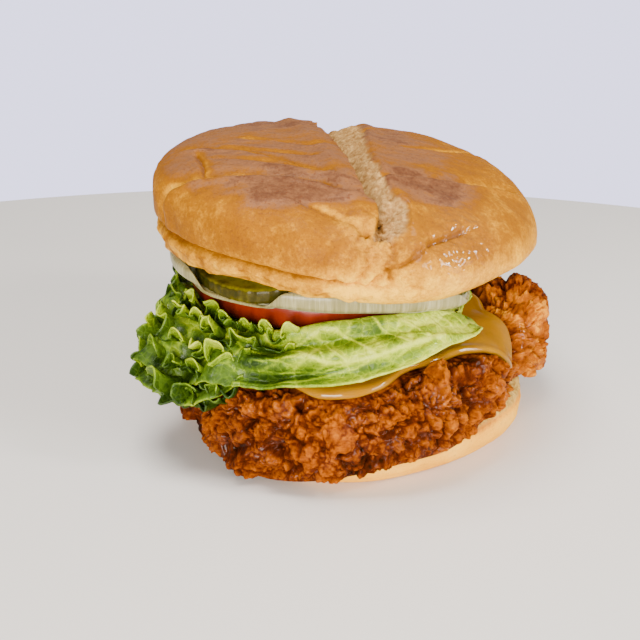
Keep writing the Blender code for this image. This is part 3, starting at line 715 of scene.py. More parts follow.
# Lettuce: the two packed leaves with veins, blisters and dense frills
leaves = {
    "centre": (-4.0, -1.0), "thickness": 0.6, "ruffleCount": 17, "innerWave": 0.8, "innerRows": 9,
    "netPerMetre": 480.0, "swayPerMetre": 300.0, "sway": 1.6,  # the fine net of veins, and how it wavers
    "upper": {
        "level": 39.4, "lean": stackLean, "spokes": 660, "rows": 40,
        "crestRadius": {0: 42, 60: 44, 120: 45, 180: 46, 225: 46, 270: 45.3, 300: 45.3, 330: 43},
        "crestHeight": {0: 39.6, 60: 41, 150: 41.6, 180: 41.8, 215: 41, 240: 41, 254: 42.6, 264: 45.0,
                        274: 46.8, 284: 47.8, 300: 48.4, 311: 47.6, 319: 45.2, 326: 42, 334: 40},
        "edgeRadius": {0: 45.5, 40: 47, 60: 54, 90: 58, 120: 56, 150: 50.5, 172: 48.8, 188: 49, 196: 51.5,
                       203: 61, 208: 65.5, 216: 63, 228: 61, 240: 59, 255: 57, 270: 57, 290: 57.5, 305: 57,
                       319: 56.5, 325: 53, 331: 46},
        "edgeHeight": {0: 38.6, 40: 38.5, 60: 37.5, 90: 36, 120: 36, 150: 40, 172: 42, 196: 37, 203: 28.5,
                       208: 27, 216: 26.5, 228: 27, 240: 29.5, 255: 31.4, 270: 33.4, 290: 38.4, 305: 41.5,
                       319: 42, 329: 40.5},
        "ruffle": {0: 0.4, 60: 1.6, 120: 2.4, 170: 1.6, 205: 3.0, 235: 2.2, 262: 0.8, 300: 0.6, 320: 0.3},
    },
    "lower": {
        "level": 36.0, "lean": 0.0, "spokes": 420, "rows": 30,
        "crestRadius": {0: 30, 90: 34, 180: 42, 225: 44, 270: 38},
        "crestHeight": {0: 36, 180: 37.5, 225: 36.5, 270: 36},
        "edgeRadius": {0: 34, 60: 36, 100: 42, 130: 46, 165: 46, 188: 47, 197: 51, 204: 63, 209: 65,
                       218: 64.5, 228: 63, 236: 61, 246: 52, 270: 42, 320: 35},
        "edgeHeight": {0: 36, 60: 36, 100: 36, 130: 36, 165: 37, 185: 36, 197: 33, 204: 25, 209: 23.5,
                       218: 22.5, 228: 23, 236: 25, 246: 34, 270: 36},
        "ruffle": {0: 0.0, 100: 0.6, 160: 1.2, 205: 2.4, 230: 2.0, 250: 0.8, 280: 0.0},
    },
}
# Ribs on the front of the upper leaf, as (bearing, share of the overhang), and their widths
leafRibs = [
    ([(318, 0.30), (307, 0.12), (297, 0.03), (284, 0.0), (262, 0.0), (250, 0.04)], 1.0),
    ([(304, 0.75), (294, 0.65), (283, 0.68), (275, 0.66), (268, 0.62), (262, 0.48), (258, 0.36),
      (244, 0.38)], 1.0),
    ([(283, 0.68), (279, 0.45), (276, 0.28), (272, 0.12), (266, 0.08), (260, 0.2), (252, 0.34)], 0.75),
    ([(283, 0.68), (277, 0.76), (269, 0.82), (263, 0.9), (254, 0.93), (243, 0.95)], 0.85),
    ([(294, 0.65), (290, 0.42), (286, 0.22), (284, 0.05)], 0.6), ([(300, 0.7), (298, 0.4), (294, 0.14)], 0.6),
    ([(306, 0.72), (305, 0.42), (302, 0.12)], 0.55), ([(311, 0.8), (311, 0.5), (309, 0.22)], 0.55),
    ([(316, 0.88), (316, 0.6), (315, 0.34)], 0.5), ([(268, 0.62), (266, 0.42), (262, 0.25)], 0.5),
    ([(275, 0.66), (270, 0.45), (268, 0.3)], 0.5), ([(275, 0.68), (267, 0.74), (258, 0.72), (248, 0.7)], 0.5),
    ([(262, 0.5), (255, 0.52), (246, 0.58)], 0.5),
]
# Greener places on it, as (bearing, distance down, width, strength)
leafPatches = [(287, 3.0, 1.8, 0.42), (277, 2.6, 1.2, 0.3), (262, 13.5, 3.5, 0.4), (249, 9.0, 2.5, 0.3),
               (254, 15.0, 3.0, 0.3), (269, 8.0, 1.5, 0.2), (298, 8.0, 1.2, 0.15), (243, 4.0, 3.0, 0.35)]
leafFold = [(324, 1.02), (320, 0.97), (311, 0.85), (304, 0.70), (298, 0.52), (291, 0.34)]
arcRadius, overhangLength = 52.0, 17.0  # turn bearing and share into millimetres on the band


def leafFinish(name, tone):
    material, tree, shader = finishOf(
        name, Roughness=0.45, Specular_IOR_Level=0.15, Coat_Weight=0.12, Coat_Roughness=0.12)
    # The mark's darker values carry painted shade in the folds as well as the leaf's own greens
    shade = variedBy(tree, markOf(tree, "green"), 3.0, 0.10)
    place = addNode(tree, "ShaderNodeTexCoord").outputs["Object"]
    swayed = addNode(tree, "ShaderNodeTexNoise", {
        "Vector": place, "Scale": leaves["swayPerMetre"], "Detail": 2.0}).outputs["Color"]
    sway = addNode(tree, "ShaderNodeVectorMath", {
        0: swayed, "Scale": leaves["sway"] * millimetre}, operation="SCALE").outputs[0]
    bent = addNode(tree, "ShaderNodeVectorMath", {0: place, 1: sway}, operation="ADD").outputs[0]
    netted = addNode(tree, "ShaderNodeTexVoronoi", {
        "Vector": bent, "Scale": leaves["netPerMetre"]}, feature="DISTANCE_TO_EDGE")
    net = netted.outputs["Distance"]
    line = rangeOf(tree, net, 0.0, 0.09, 1.0, 0.0)
    shade = mathOf(tree, "SUBTRACT", shade, mathOf(tree, "MULTIPLY", line, 0.13))
    tree.links.new(shadesOf(tree, shade, tone), shader.inputs["Base Color"])
    grain = mathOf(tree, "MULTIPLY", grainOf(tree, 0.9, 4.0, 0.6), 0.6)
    bumpOf(tree, shader, mathOf(tree, "ADD", grain, rangeOf(tree, net, 0.0, 0.3, 0.0, 0.8)), 0.3, 0.7)
    return material


def leafCurve(leaf, bearings):
    crestR, crestZ = aroundTable(leaf["crestRadius"], bearings), aroundTable(leaf["crestHeight"], bearings)
    edgeR, edgeZ = aroundTable(leaf["edgeRadius"], bearings), aroundTable(leaf["edgeHeight"], bearings)
    level = np.full_like(crestR, leaf["level"])
    rows = [(0 * crestR, level), (0.5 * crestR, level), (crestR - 5, level), (crestR, crestZ),
            (crestR + 0.55 * (edgeR - crestR), crestZ + 0.42 * (edgeZ - crestZ)), (edgeR, edgeZ)]
    crestRow = 3  # the crest's place among the rows
    curve, length = curveAlong(np.array(rows).transpose(2, 0, 1))
    return curve, length, length[:, crestRow * spanPoints], crestR, edgeR


def swayingCells(flat, reach, swaySize, seeds, size, seed):  # how far inside a cell with wavering borders
    sway = np.concatenate([cloudShift(flat, swaySize, seeds), 0 * flat[..., :1]], -1)
    return cells(flat + reach * sway, size, seed)[1]


def leafSheet(leaf, front):
    bearings = spread(leaf["spokes"])
    curve, length, crestAt, crestR, edgeR = leafCurve(leaf, bearings)
    share = np.concatenate([np.linspace(-1, 0, leaves["innerRows"], endpoint=False),
                            np.linspace(0, 1, leaf["rows"])])
    inner = crestAt[:, None]
    outer = (length[:, -1] - crestAt)[:, None]
    wanted = np.where(share < 0, inner * (1 + share), inner + outer * share)
    spots, outward = onCurve(curve, length, wanted)
    overhang = ramp(spots[..., 0], crestR[:, None] - 3, edgeR[:, None])
    turn = np.radians(bearings)[:, None]
    phase = leaves["ruffleCount"] * turn + 0.9 * np.sin(2 * turn + 1) + 0.6 * np.sin(5 * turn)
    ruffle = aroundTable(leaf["ruffle"], bearings)[:, None] * overhang
    second = 0.45 * ruffle * ramp(share, 0.3, 1.0) * np.sin(2.6 * phase + 0.8 * np.sin(3 * turn))
    push = ruffle * np.sin(phase) + second
    sideways = 0.3 * ruffle * np.cos(phase) - 0.4 * ruffle * np.sin(2 * phase)
    swing = np.degrees(sideways / np.maximum(spots[..., 0], 1))
    zigzag = 1 - np.abs(2 * ((bearings / 3.1) % 1) - 1)
    teeth = 0.9 * ramp(share, 0.8, 1.0) * ramp(ruffle, 0.8, 2.0) * zigzag[:, None]
    # Ribs and blisters
    arc, down = np.radians(bearings)[:, None] * arcRadius + 0 * share, share * overhangLength + 0 * turn
    flat = np.stack([arc / 1.7, down, 0 * arc], -1)
    border = swayingCells(flat, 1.2, 6.0, (1.0, 2.0), 6.5, 2.5)
    smallBorder = swayingCells(flat, 0.5, 3.0, (5.0, 6.0), 2.3, 4.0)
    rib, raised, valley = np.zeros_like(arc), np.zeros_like(arc), np.zeros_like(arc)

    def along(bearing):
        return math.radians(bearing) * arcRadius

    if front:
        for path, width in leafRibs:
            away, _ = pathDistance(arc, down, [(along(b), s * overhangLength) for b, s in path])
            rib = np.maximum(rib, hump(away, 0.5 * width))
            raised = np.maximum(raised, 0.6 * width * hump(away, 0.7 * width))
        away, side = pathDistance(arc, down, [(along(b), s * overhangLength) for b, s in leafFold])
        inFold = ramp(arc, along(289), along(295)) * (1 - ramp(arc, along(325), along(329)))
        raised = raised + 1.5 * ramp(-side * away, -0.1, 0.7) * inFold
        pleated = ramp(arc, along(240), along(250)) * (1 - ramp(arc, along(286), along(298)))
        pleat = np.cos(2 * math.pi * (share - 0.05 + 0.05 * np.sin(arc / 9)) / 0.52)
        raised = raised + (1.1 + 1.1 * (1 - ramp(arc, along(266), along(282)))) * pleated * pleat
        # The pleats' hollows, painted darker below: painted shade
        valley = 0.5 * pleated * ramp(-pleat, -0.3, 1.0)
    blister = ramp(border, 0.0, 0.5) * (1 - 0.8 * rib)
    shown = ramp(share, -0.12, 0.1)
    quiet = 1 - 0.7 * ramp(ruffle, 1.0, 2.4)
    push = push + shown * (raised + quiet * (0.8 * blister - 0.5) + 0.16 * ramp(smallBorder, 0, 0.4))
    spots = spots + outward * push[..., None]
    spots[..., 0] += teeth
    veins = np.maximum(rib, 0.55 * (1 - ramp(border, 0.01, 0.10)))
    veins = np.maximum(veins, 0.36 * (1 - ramp(smallBorder, 0.0, 0.11)))
    # How dark a green, with painted shade: real greener blisters and pale veins, and darker in the pleats'
    # hollows
    green = 0.31 + 0.24 * blister + 0.42 * valley - 0.32 * veins
    if front:
        green = green - 0.12 * ramp(arc, along(285), along(302))
        for bearing, depth, width, strength in leafPatches:
            patch = strength * hump(np.hypot((arc - along(bearing)) / width, down - depth), 2.4)
            green = green + patch * (1 - 0.7 * veins)
    # Darker where the edge ruffles, deeper green together with painted shade, and darker still on each ruffle's
    # inward turns: painted shade
    green = green + 0.34 * ramp(ruffle, 0.4, 1.8) + 0.2 * ramp(-np.sin(phase), 0, 1) * ramp(ruffle, 0.5, 2.0)
    green = green - 0.25 * ramp(share, 0.965, 1.0)
    sheet = np.empty((spots.shape[1], len(bearings), 3))
    for i in range(len(sheet)):
        sheet[i, :, :2] = leaves["centre"] + ways(bearings + swing[:, i]) * spots[:, i, :1]
        sheet[i, :, 2] = spots[:, i, 1]
    x, y = sheet[..., 0], sheet[..., 1]
    wave = leaves["innerWave"] * np.sin(x / 8) * np.cos(y / 9) * (1 - overhang.T)
    sheet[..., 2] += wave - leaf["lean"] * x
    return sheet, {"green": np.clip(green.T, 0, 1)}, True


# Frills at the left: ruffled strips in tiers, each from a root line to a margin, as (bearing, radius, height)
frills = {
    "rows": 26, "perMillimetre": 4.4, "toothLength": 2.3, "toothGap": 2.9, "curl": 2.6, "pinch": 0.15,
    "thickness": 0.4,
    # A strip's tone darkens all of it when positive and lightens it when negative; the lowest upper strip and
    # the lower strip carry painted shade this way
    "strips": [
        {"root": [(198, 53, 28), (212, 56, 26), (228, 55, 26), (243, 53, 29)],
         "edge": [(197, 59, 28), (208, 66, 25.5), (220, 66, 23.5), (232, 63, 24), (244, 58, 29)],
         "amplitude": 4.0, "wave": 10.5, "tone": 0.12, "seed": 1.0},
        {"root": [(196, 49, 33), (208, 52, 31), (224, 52, 30), (242, 50, 32)],
         "edge": [(195, 54, 33), (206, 61, 31.5), (222, 61.5, 29), (241, 57, 32)],
         "amplitude": 3.7, "wave": 9.6, "tone": 0.02, "seed": 2.0},
        {"root": [(202, 47, 37), (212, 49, 36), (226, 49, 35), (243, 48, 36)],
         "edge": [(201, 52, 37), (212, 57, 36), (226, 57.5, 34.5), (244, 54, 36)],
         "amplitude": 3.3, "wave": 9.0, "tone": -0.16, "seed": 3.0},
        {"root": [(206, 46, 41), (222, 46, 40.5), (240, 46, 39.5), (257, 46, 38.5)],
         "edge": [(207, 51, 41.5), (222, 53, 41), (240, 53, 39.5), (258, 51, 37.5)],
         "amplitude": 2.6, "wave": 9.5, "tone": -0.12, "seed": 4.4},
        {"root": [(174, 43, 37), (186, 44, 37), (200, 46, 38)],
         "edge": [(174, 47, 41.5), (187, 48.5, 42), (202, 51, 39)],
         "amplitude": 1.9, "wave": 6.5, "tone": 0.08, "seed": 5.0},
        {"root": [(203, 43, 41.5), (220, 43, 41.5), (240, 43, 41.5), (262, 43, 42)],
         "edge": [(204, 48, 43.5), (220, 49, 43), (240, 49.5, 42.5), (263, 48, 42)],
         "amplitude": 2.0, "wave": 8.0, "tone": -0.2, "seed": 8.3},
        {"root": [(184, 44, 34), (194, 46, 34), (206, 48, 34)],
         "edge": [(183, 48, 35.5), (194, 52, 35.5), (207, 56, 34.5)],
         "amplitude": 2.0, "wave": 7.5, "tone": 0.10, "seed": 6.0},
    ],
    "lowerStrips": [
        {"root": [(200, 50, 24.5), (212, 54, 23), (226, 54, 22.5), (240, 52, 24.5)],
         "edge": [(200, 57, 24.5), (211, 62.5, 22), (225, 62, 21), (240, 59, 23.5)],
         "amplitude": 2.6, "wave": 9.0, "tone": 0.2, "seed": 7.0},
    ],
}


def frillSheet(strip, lean):
    lines = {}
    span = math.radians(strip["root"][-1][0] - strip["root"][0][0]) * np.mean([p[1] for p in strip["edge"]])
    t = np.linspace(0, 1, int(span * frills["perMillimetre"]))
    for which in ("root", "edge"):
        curve, length = curveAlong(np.array(strip[which], float)[None], 16)
        along = length[0] / length[0, -1]
        lines[which] = np.stack([np.interp(t, along, curve[0, :, k]) for k in range(3)], -1)
    root, edge = lines["root"], lines["edge"]
    v = np.linspace(0, 1, frills["rows"])[:, None]
    arc = t * span
    ends = ramp(t, 0, 0.1) * (1 - ramp(t, 0.9, 1))
    seed = strip["seed"]
    phase = 2 * math.pi * arc / strip["wave"] + 2.1 * np.sin(arc / 7.3 + seed) + seed
    size = strip["amplitude"] * (0.8 + 0.5 * np.sin(arc / 4.3 + 2 * seed)) * (0.3 + 0.7 * ends) * v**1.1
    push = size * np.sin(phase) + 0.28 * size * v * np.sin(2.6 * phase + seed)
    push = push + 0.75 * ramp(v, 0.5, 1.0) * ends * np.sin(3.7 * phase + 1.6 * np.sin(arc / 2.9 + seed))
    swing = -frills["pinch"] * strip["wave"] * v**1.1 * ends * np.sin(2 * phase)
    tooth = (1 - np.abs(2 * ((arc / frills["toothGap"] + 0.3 * np.sin(arc / 4.0)) % 1) - 1)) ** 1.4
    tooth = tooth * (0.6 + 0.5 * np.sin(arc / 2.3 + seed))
    reach = v + 0.17 * frills["toothLength"] * tooth * ramp(v, 0.65, 1.0)
    reach = (reach + 0.14 * np.sin(phase * 0.43 + seed) * v) * (0.55 + 0.45 * ends)
    bearing = root[:, 0] + (edge[:, 0] - root[:, 0]) * v
    r = root[:, 1] + (edge[:, 1] - root[:, 1]) * reach
    z = root[:, 2] + (edge[:, 2] - root[:, 2]) * reach + frills["curl"] * (v**2.5 - 0.5 * np.sin(math.pi * v))
    way = edge[:, 1:] - root[:, 1:]
    way = way / np.linalg.norm(way, axis=1, keepdims=True)
    r, z = r - way[:, 1] * push, z + way[:, 0] * push
    plan = np.asarray(leaves["centre"]) + ways(bearing + np.degrees(swing / r)) * r[..., None]
    sheet = np.concatenate([plan, (z - lean * plan[..., 0])[..., None]], -1)
    flat = np.stack([arc + 0 * v, v * 5 + 0 * arc, seed + 0 * v + 0 * arc], -1)
    _, border = cells(flat, 2.6, seed)
    sheet = sheet + outwardOf(sheet, False) * (0.3 * ramp(border, 0, 0.4) * ramp(v, 0.0, 0.3))[..., None]
    vein = 1 - ramp(border, 0.02, 0.16)
    # Paler towards the margin; each ruffle lighter where it turns up and darker where it turns down: painted
    # light and shade
    green = 1.30 + strip["tone"] - 0.42 * v - 0.34 * np.sin(phase) * v - 0.16 * vein * (1 - 0.4 * v)
    green = green + 0.12 * np.sin(arc / 6.1 + 2 * seed) - 0.15 * ramp(v, 0.97, 1.0)
    return sheet[:, ::-1], {"green": np.clip(green, 0, 1)[:, ::-1]}, False


leafTone = [(0.0, (0.54, 0.61, 0.06)), (0.22, (0.36, 0.45, 0.010)), (0.42, (0.20, 0.29, 0.004)),
            (0.65, (0.07, 0.13, 0.003)), (1.0, (0.014, 0.035, 0.002))]
upperLeafMaterial = leafFinish("upperLeaf", leafTone)
lowerLeafMaterial = leafFinish("lowerLeaf", leafTone)
upperSheets = [leafSheet(leaves["upper"], True)]
lettuceUpper = thinPiece("lettuceUpper", upperSheets, leaves["thickness"], upperLeafMaterial)
settle(lettuceUpper, "lettuce_upper", "lettuce_upper")
lowerSheets = [leafSheet(leaves["lower"], False)]
lettuceLower = thinPiece("lettuceLower", lowerSheets, leaves["thickness"], lowerLeafMaterial)
settle(lettuceLower, "lettuce_lower", "lettuce_lower")
upperStrips = [frillSheet(strip, stackLean) for strip in frills["strips"]]
lettuceFrills = thinPiece("lettuceFrills", upperStrips, frills["thickness"], upperLeafMaterial)
settle(lettuceFrills, "lettuce_upper")
lowerStrips = [frillSheet(strip, 0.0) for strip in frills["lowerStrips"]]
lettuceLowFrills = thinPiece("lettuceLowFrills", lowerStrips, frills["thickness"], lowerLeafMaterial)
settle(lettuceLowFrills, "lettuce_lower")
print("lettuce made")

# Tomato, onion and pickles
slices = {
    "side": [(1.2, 1.0), (0.2, 0.82), (0.0, 0.5), (0.2, 0.18), (1.2, 0.0)], "spokes": 480, "sideRings": 26,
    "arcRadius": 45,  # turns a bearing into a distance along the rim
    "seamRise": 0.5, "seamLean": 0.065,  # the tomato's top and the onion's underside lean more than the stack
    "tomato": {"centre": (-6.0, -1.5), "bottom": 41.6, "top": 48.9, "topRings": 8,
               "radius": {0: 40, 70: 41.5, 150: 41, 210: 42, 270: 40.5, 320: 40}},
    "onion": {"centre": (-7.0, -0.5), "bottom": 49.4, "top": 56.0, "topRings": 46, "rimSag": 0.6,
              "radius": {0: 46.5, 60: 45.5, 120: 46.5, 180: 46.3, 215: 48.5, 240: 47.0, 270: 46.6, 290: 48,
                         305: 51, 318: 54, 335: 49}},
    "pickles": {  # plan centre, half lengths and turn
        "pickleFront": ((-26.0, -25.0), (20.0, 16.0), -46.0),
        "pickleRight": ((23.5, -25.5), (14.0, 12.5), 25.0)},
    "pickleBottom": 51.9, "pickleTop": 56.2, "pickleDroop": 2.2, "pickleSpokes": 300, "pickleTopRings": 24,
    "pickleSide": [(0.5, 1.0), (0.0, 0.8), (0.0, 0.2), (0.5, 0.0)], "pickleSideRings": 16,
    "ridgeDepth": 0.22, "ridgeTurns": 19,
}


def streakOf(tree, squeeze):  # a place along the rim with its height squeezed, so that noise runs up and down
    height = mathOf(tree, "MULTIPLY", markOf(tree, "height"), squeeze)
    return addNode(tree, "ShaderNodeCombineXYZ", {"X": markOf(tree, "arc"), "Y": height}).outputs[0]


def tomatoFinish():
    material, tree, shader = finishOf(
        "tomatoFlesh", Roughness=0.4, Specular_IOR_Level=0.12, Coat_Weight=0.14, Coat_Roughness=0.1)
    skin = shadesOf(tree, grainOf(tree, 2.4, vector=streakOf(tree, 0.25)), [
        (0.3, (0.18, 0.012, 0.0005)), (0.55, (0.215, 0.017, 0.001)), (0.75, (0.25, 0.026, 0.002))])
    flesh = shadesOf(tree, grainOf(tree, 6.0, 3.0), [(0.3, (0.18, 0.012, 0.002)), (0.7, (0.30, 0.05, 0.01))])
    tree.links.new(mixOf(tree, markOf(tree, "cut"), skin, flesh), shader.inputs["Base Color"])
    bumpOf(tree, shader, grainOf(tree, 1.8, 3.0), 0.15, 0.35)
    return material


def onionFinish():
    material, tree, shader = finishOf(
        "onionFlesh", Roughness=0.35, Specular_IOR_Level=0.3, Subsurface_Weight=0.2, Subsurface_Scale=0.004,
        Subsurface_Radius=(1.0, 1.0, 0.7), Coat_Weight=0.2, Coat_Roughness=0.1)
    streak = streakOf(tree, 0.06)
    lines = grainOf(tree, 0.8, 3.0, 0.6, streak)
    broad = mathOf(tree, "MULTIPLY", grainOf(tree, 9.0, 2.0, vector=streak), 0.35)
    skin = shadesOf(tree, mathOf(tree, "ADD", mathOf(tree, "MULTIPLY", lines, 0.65), broad), [
        (0.35, (0.17, 0.15, 0.045)), (0.5, (0.27, 0.235, 0.09)), (0.65, (0.46, 0.41, 0.21))])
    outFromMiddle = addNode(tree, "ShaderNodeCombineXYZ", {"X": markOf(tree, "radius")}).outputs[0]
    rings = addNode(tree, "ShaderNodeTexWave", {
        "Vector": outFromMiddle, "Scale": 40.0, "Distortion": 0.6, "Detail": 1.0}).outputs["Fac"]
    cut = shadesOf(tree, rings, [
        (0.0, (0.26, 0.25, 0.12)), (0.5, (0.38, 0.36, 0.22)), (1.0, (0.46, 0.45, 0.32))])
    tree.links.new(mixOf(tree, markOf(tree, "cut"), skin, cut), shader.inputs["Base Color"])
    bumpOf(tree, shader, lines, 0.12, 0.5)
    return material


def pickleFinish(name, tone):
    material, tree, shader = finishOf(
        name, Roughness=0.4, Specular_IOR_Level=0.08, Coat_Weight=0.12, Coat_Roughness=0.08)
    shade = mathOf(tree, "ADD", grainOf(tree, 2.5, 4.0, 0.65), markOf(tree, "cut"))
    tree.links.new(shadesOf(tree, shade, tone), shader.inputs["Base Color"])
    bumpOf(tree, shader, grainOf(tree, 1.5, 3.0), 0.3, 0.6)
    return material


def sliceMarks(rings, bearings, centre, side, topRings):
    radius = np.hypot(rings[..., 0] - centre[0], rings[..., 1] - centre[1])
    cut = np.ones(len(rings))
    cut[topRings + 4 : topRings + len(side) - 3] = 0
    arc = np.radians(bearings) * slices["arcRadius"] * millimetre + 0 * radius
    return {"arc": arc, "height": rings[..., 2] * millimetre, "radius": radius * millimetre,
            "cut": cut[:, None] + 0 * radius}


def makeTomato():
    tomato = slices["tomato"]
    bearings = spread(slices["spokes"])
    side = finerSide(slices["side"], slices["sideRings"])
    rings = slabRings(tomato["centre"], aroundTable(tomato["radius"], bearings), bearings,
                      levelAt(tomato["top"] + slices["seamRise"], slices["seamLean"]),
                      levelAt(tomato["bottom"]), side, tomato["topRings"])
    marks = sliceMarks(rings, bearings, tomato["centre"], side, tomato["topRings"])
    swell = np.minimum(0.2 * cloud(rings, 16.0, 3.0), 0.1) * (1 - marks["cut"])
    rings = rings + outwardOf(rings) * swell[..., None]
    return ringSolid("tomatoSlice", rings, marks, tomatoFinish())


def outsidePickle(pickle, x, y):
    (cx, cy), (a, b), turn = pickle
    turn = math.radians(turn)
    along = (x - cx) * math.cos(turn) + (y - cy) * math.sin(turn)
    across = (y - cy) * math.cos(turn) - (x - cx) * math.sin(turn)
    return (np.hypot(along / a, across / b) - 1) * (a + b) / 2


def pickleDroop(x, y):  # how far the pickles' outer edges bend down over the onion
    return slices["pickleDroop"] * ramp(np.hypot(x, y), 41, 53)


def onionTop(x, y):
    onion = slices["onion"]
    outside = np.minimum(*(outsidePickle(pickle, x, y) for pickle in slices["pickles"].values()))
    bed = (onion["top"] - slices["pickleBottom"] + 0.5) * (1 - ramp(outside, 0.6, 3.0))
    sag = bed + pickleDroop(x, y) * (1 - ramp(outside, 1.0, 3.0))
    sag = np.maximum(sag, onion["rimSag"] * ramp(np.hypot(x, y), 43, 50))
    return onion["top"] - sag - stackLean * x


def makeOnion():
    onion = slices["onion"]
    bearings = spread(slices["spokes"])
    side = finerSide(slices["side"], slices["sideRings"])
    rings = slabRings(onion["centre"], aroundTable(onion["radius"], bearings), bearings, onionTop,
                      levelAt(onion["bottom"] + slices["seamRise"], slices["seamLean"]),
                      side, onion["topRings"])
    marks = sliceMarks(rings, bearings, onion["centre"], side, onion["topRings"])
    radius = marks["radius"] / millimetre
    layers = 0.28 * np.sin(radius * 2 * math.pi / 4.2) * (marks["cut"] > 0) * ramp(radius, 5, 12)
    layers[-4:] = 0
    rings[..., 2] += np.minimum(layers, 0) - 0.05
    return ringSolid("onionSlice", rings, marks, onionFinish())


def makePickle(name, pickle, material):
    bearings = spread(slices["pickleSpokes"])
    centre, (a, b), turn = pickle
    along, across = ways(bearings - turn).T
    ridges = slices["ridgeDepth"] * np.abs(np.sin(np.radians(bearings) * slices["ridgeTurns"]))
    reach = a * b / np.hypot(b * along, a * across) - ridges
    side = finerSide(slices["pickleSide"], slices["pickleSideRings"])
    topRings = slices["pickleTopRings"]
    rings = slabRings(centre, reach, bearings, levelAt(slices["pickleTop"]), levelAt(slices["pickleBottom"]),
                      side, topRings)
    rings[..., 2] -= pickleDroop(rings[..., 0], rings[..., 1])
    marks = sliceMarks(rings, bearings, centre, side, topRings)
    # The front pickle's far left end, below about x -36, gets a lower value that its tone turns darker: painted
    # shade
    marks["cut"] = 0.25 * marks["cut"] - 0.28 * ramp(-rings[..., 0], 36, 41)
    return ringSolid(name, rings, marks, material)


tomatoSlice = makeTomato()
settle(tomatoSlice, "tomato_flesh", "tomato_slice")
onionSlice = makeOnion()
settle(onionSlice, "onion", "onion_slice")
frontTone = [(0.25, (0.020, 0.022, 0.001)), (0.45, (0.038, 0.030, 0.0003)), (0.6, (0.066, 0.053, 0.0004)),
             (0.85, (0.14, 0.12, 0.002))]
rightTone = [(0.3, (0.025, 0.035, 0.003)), (0.5, (0.06, 0.065, 0.003)), (0.8, (0.16, 0.15, 0.015))]
pickleLooks = (("pickleFront", frontTone, "pickle_front"), ("pickleRight", rightTone, "pickle_right"))
for pickleName, tone, slot in pickleLooks:
    madePickle = makePickle(pickleName, slices["pickles"][pickleName], pickleFinish(pickleName, tone))
    settle(madePickle, slot, slot)
print("slices made")

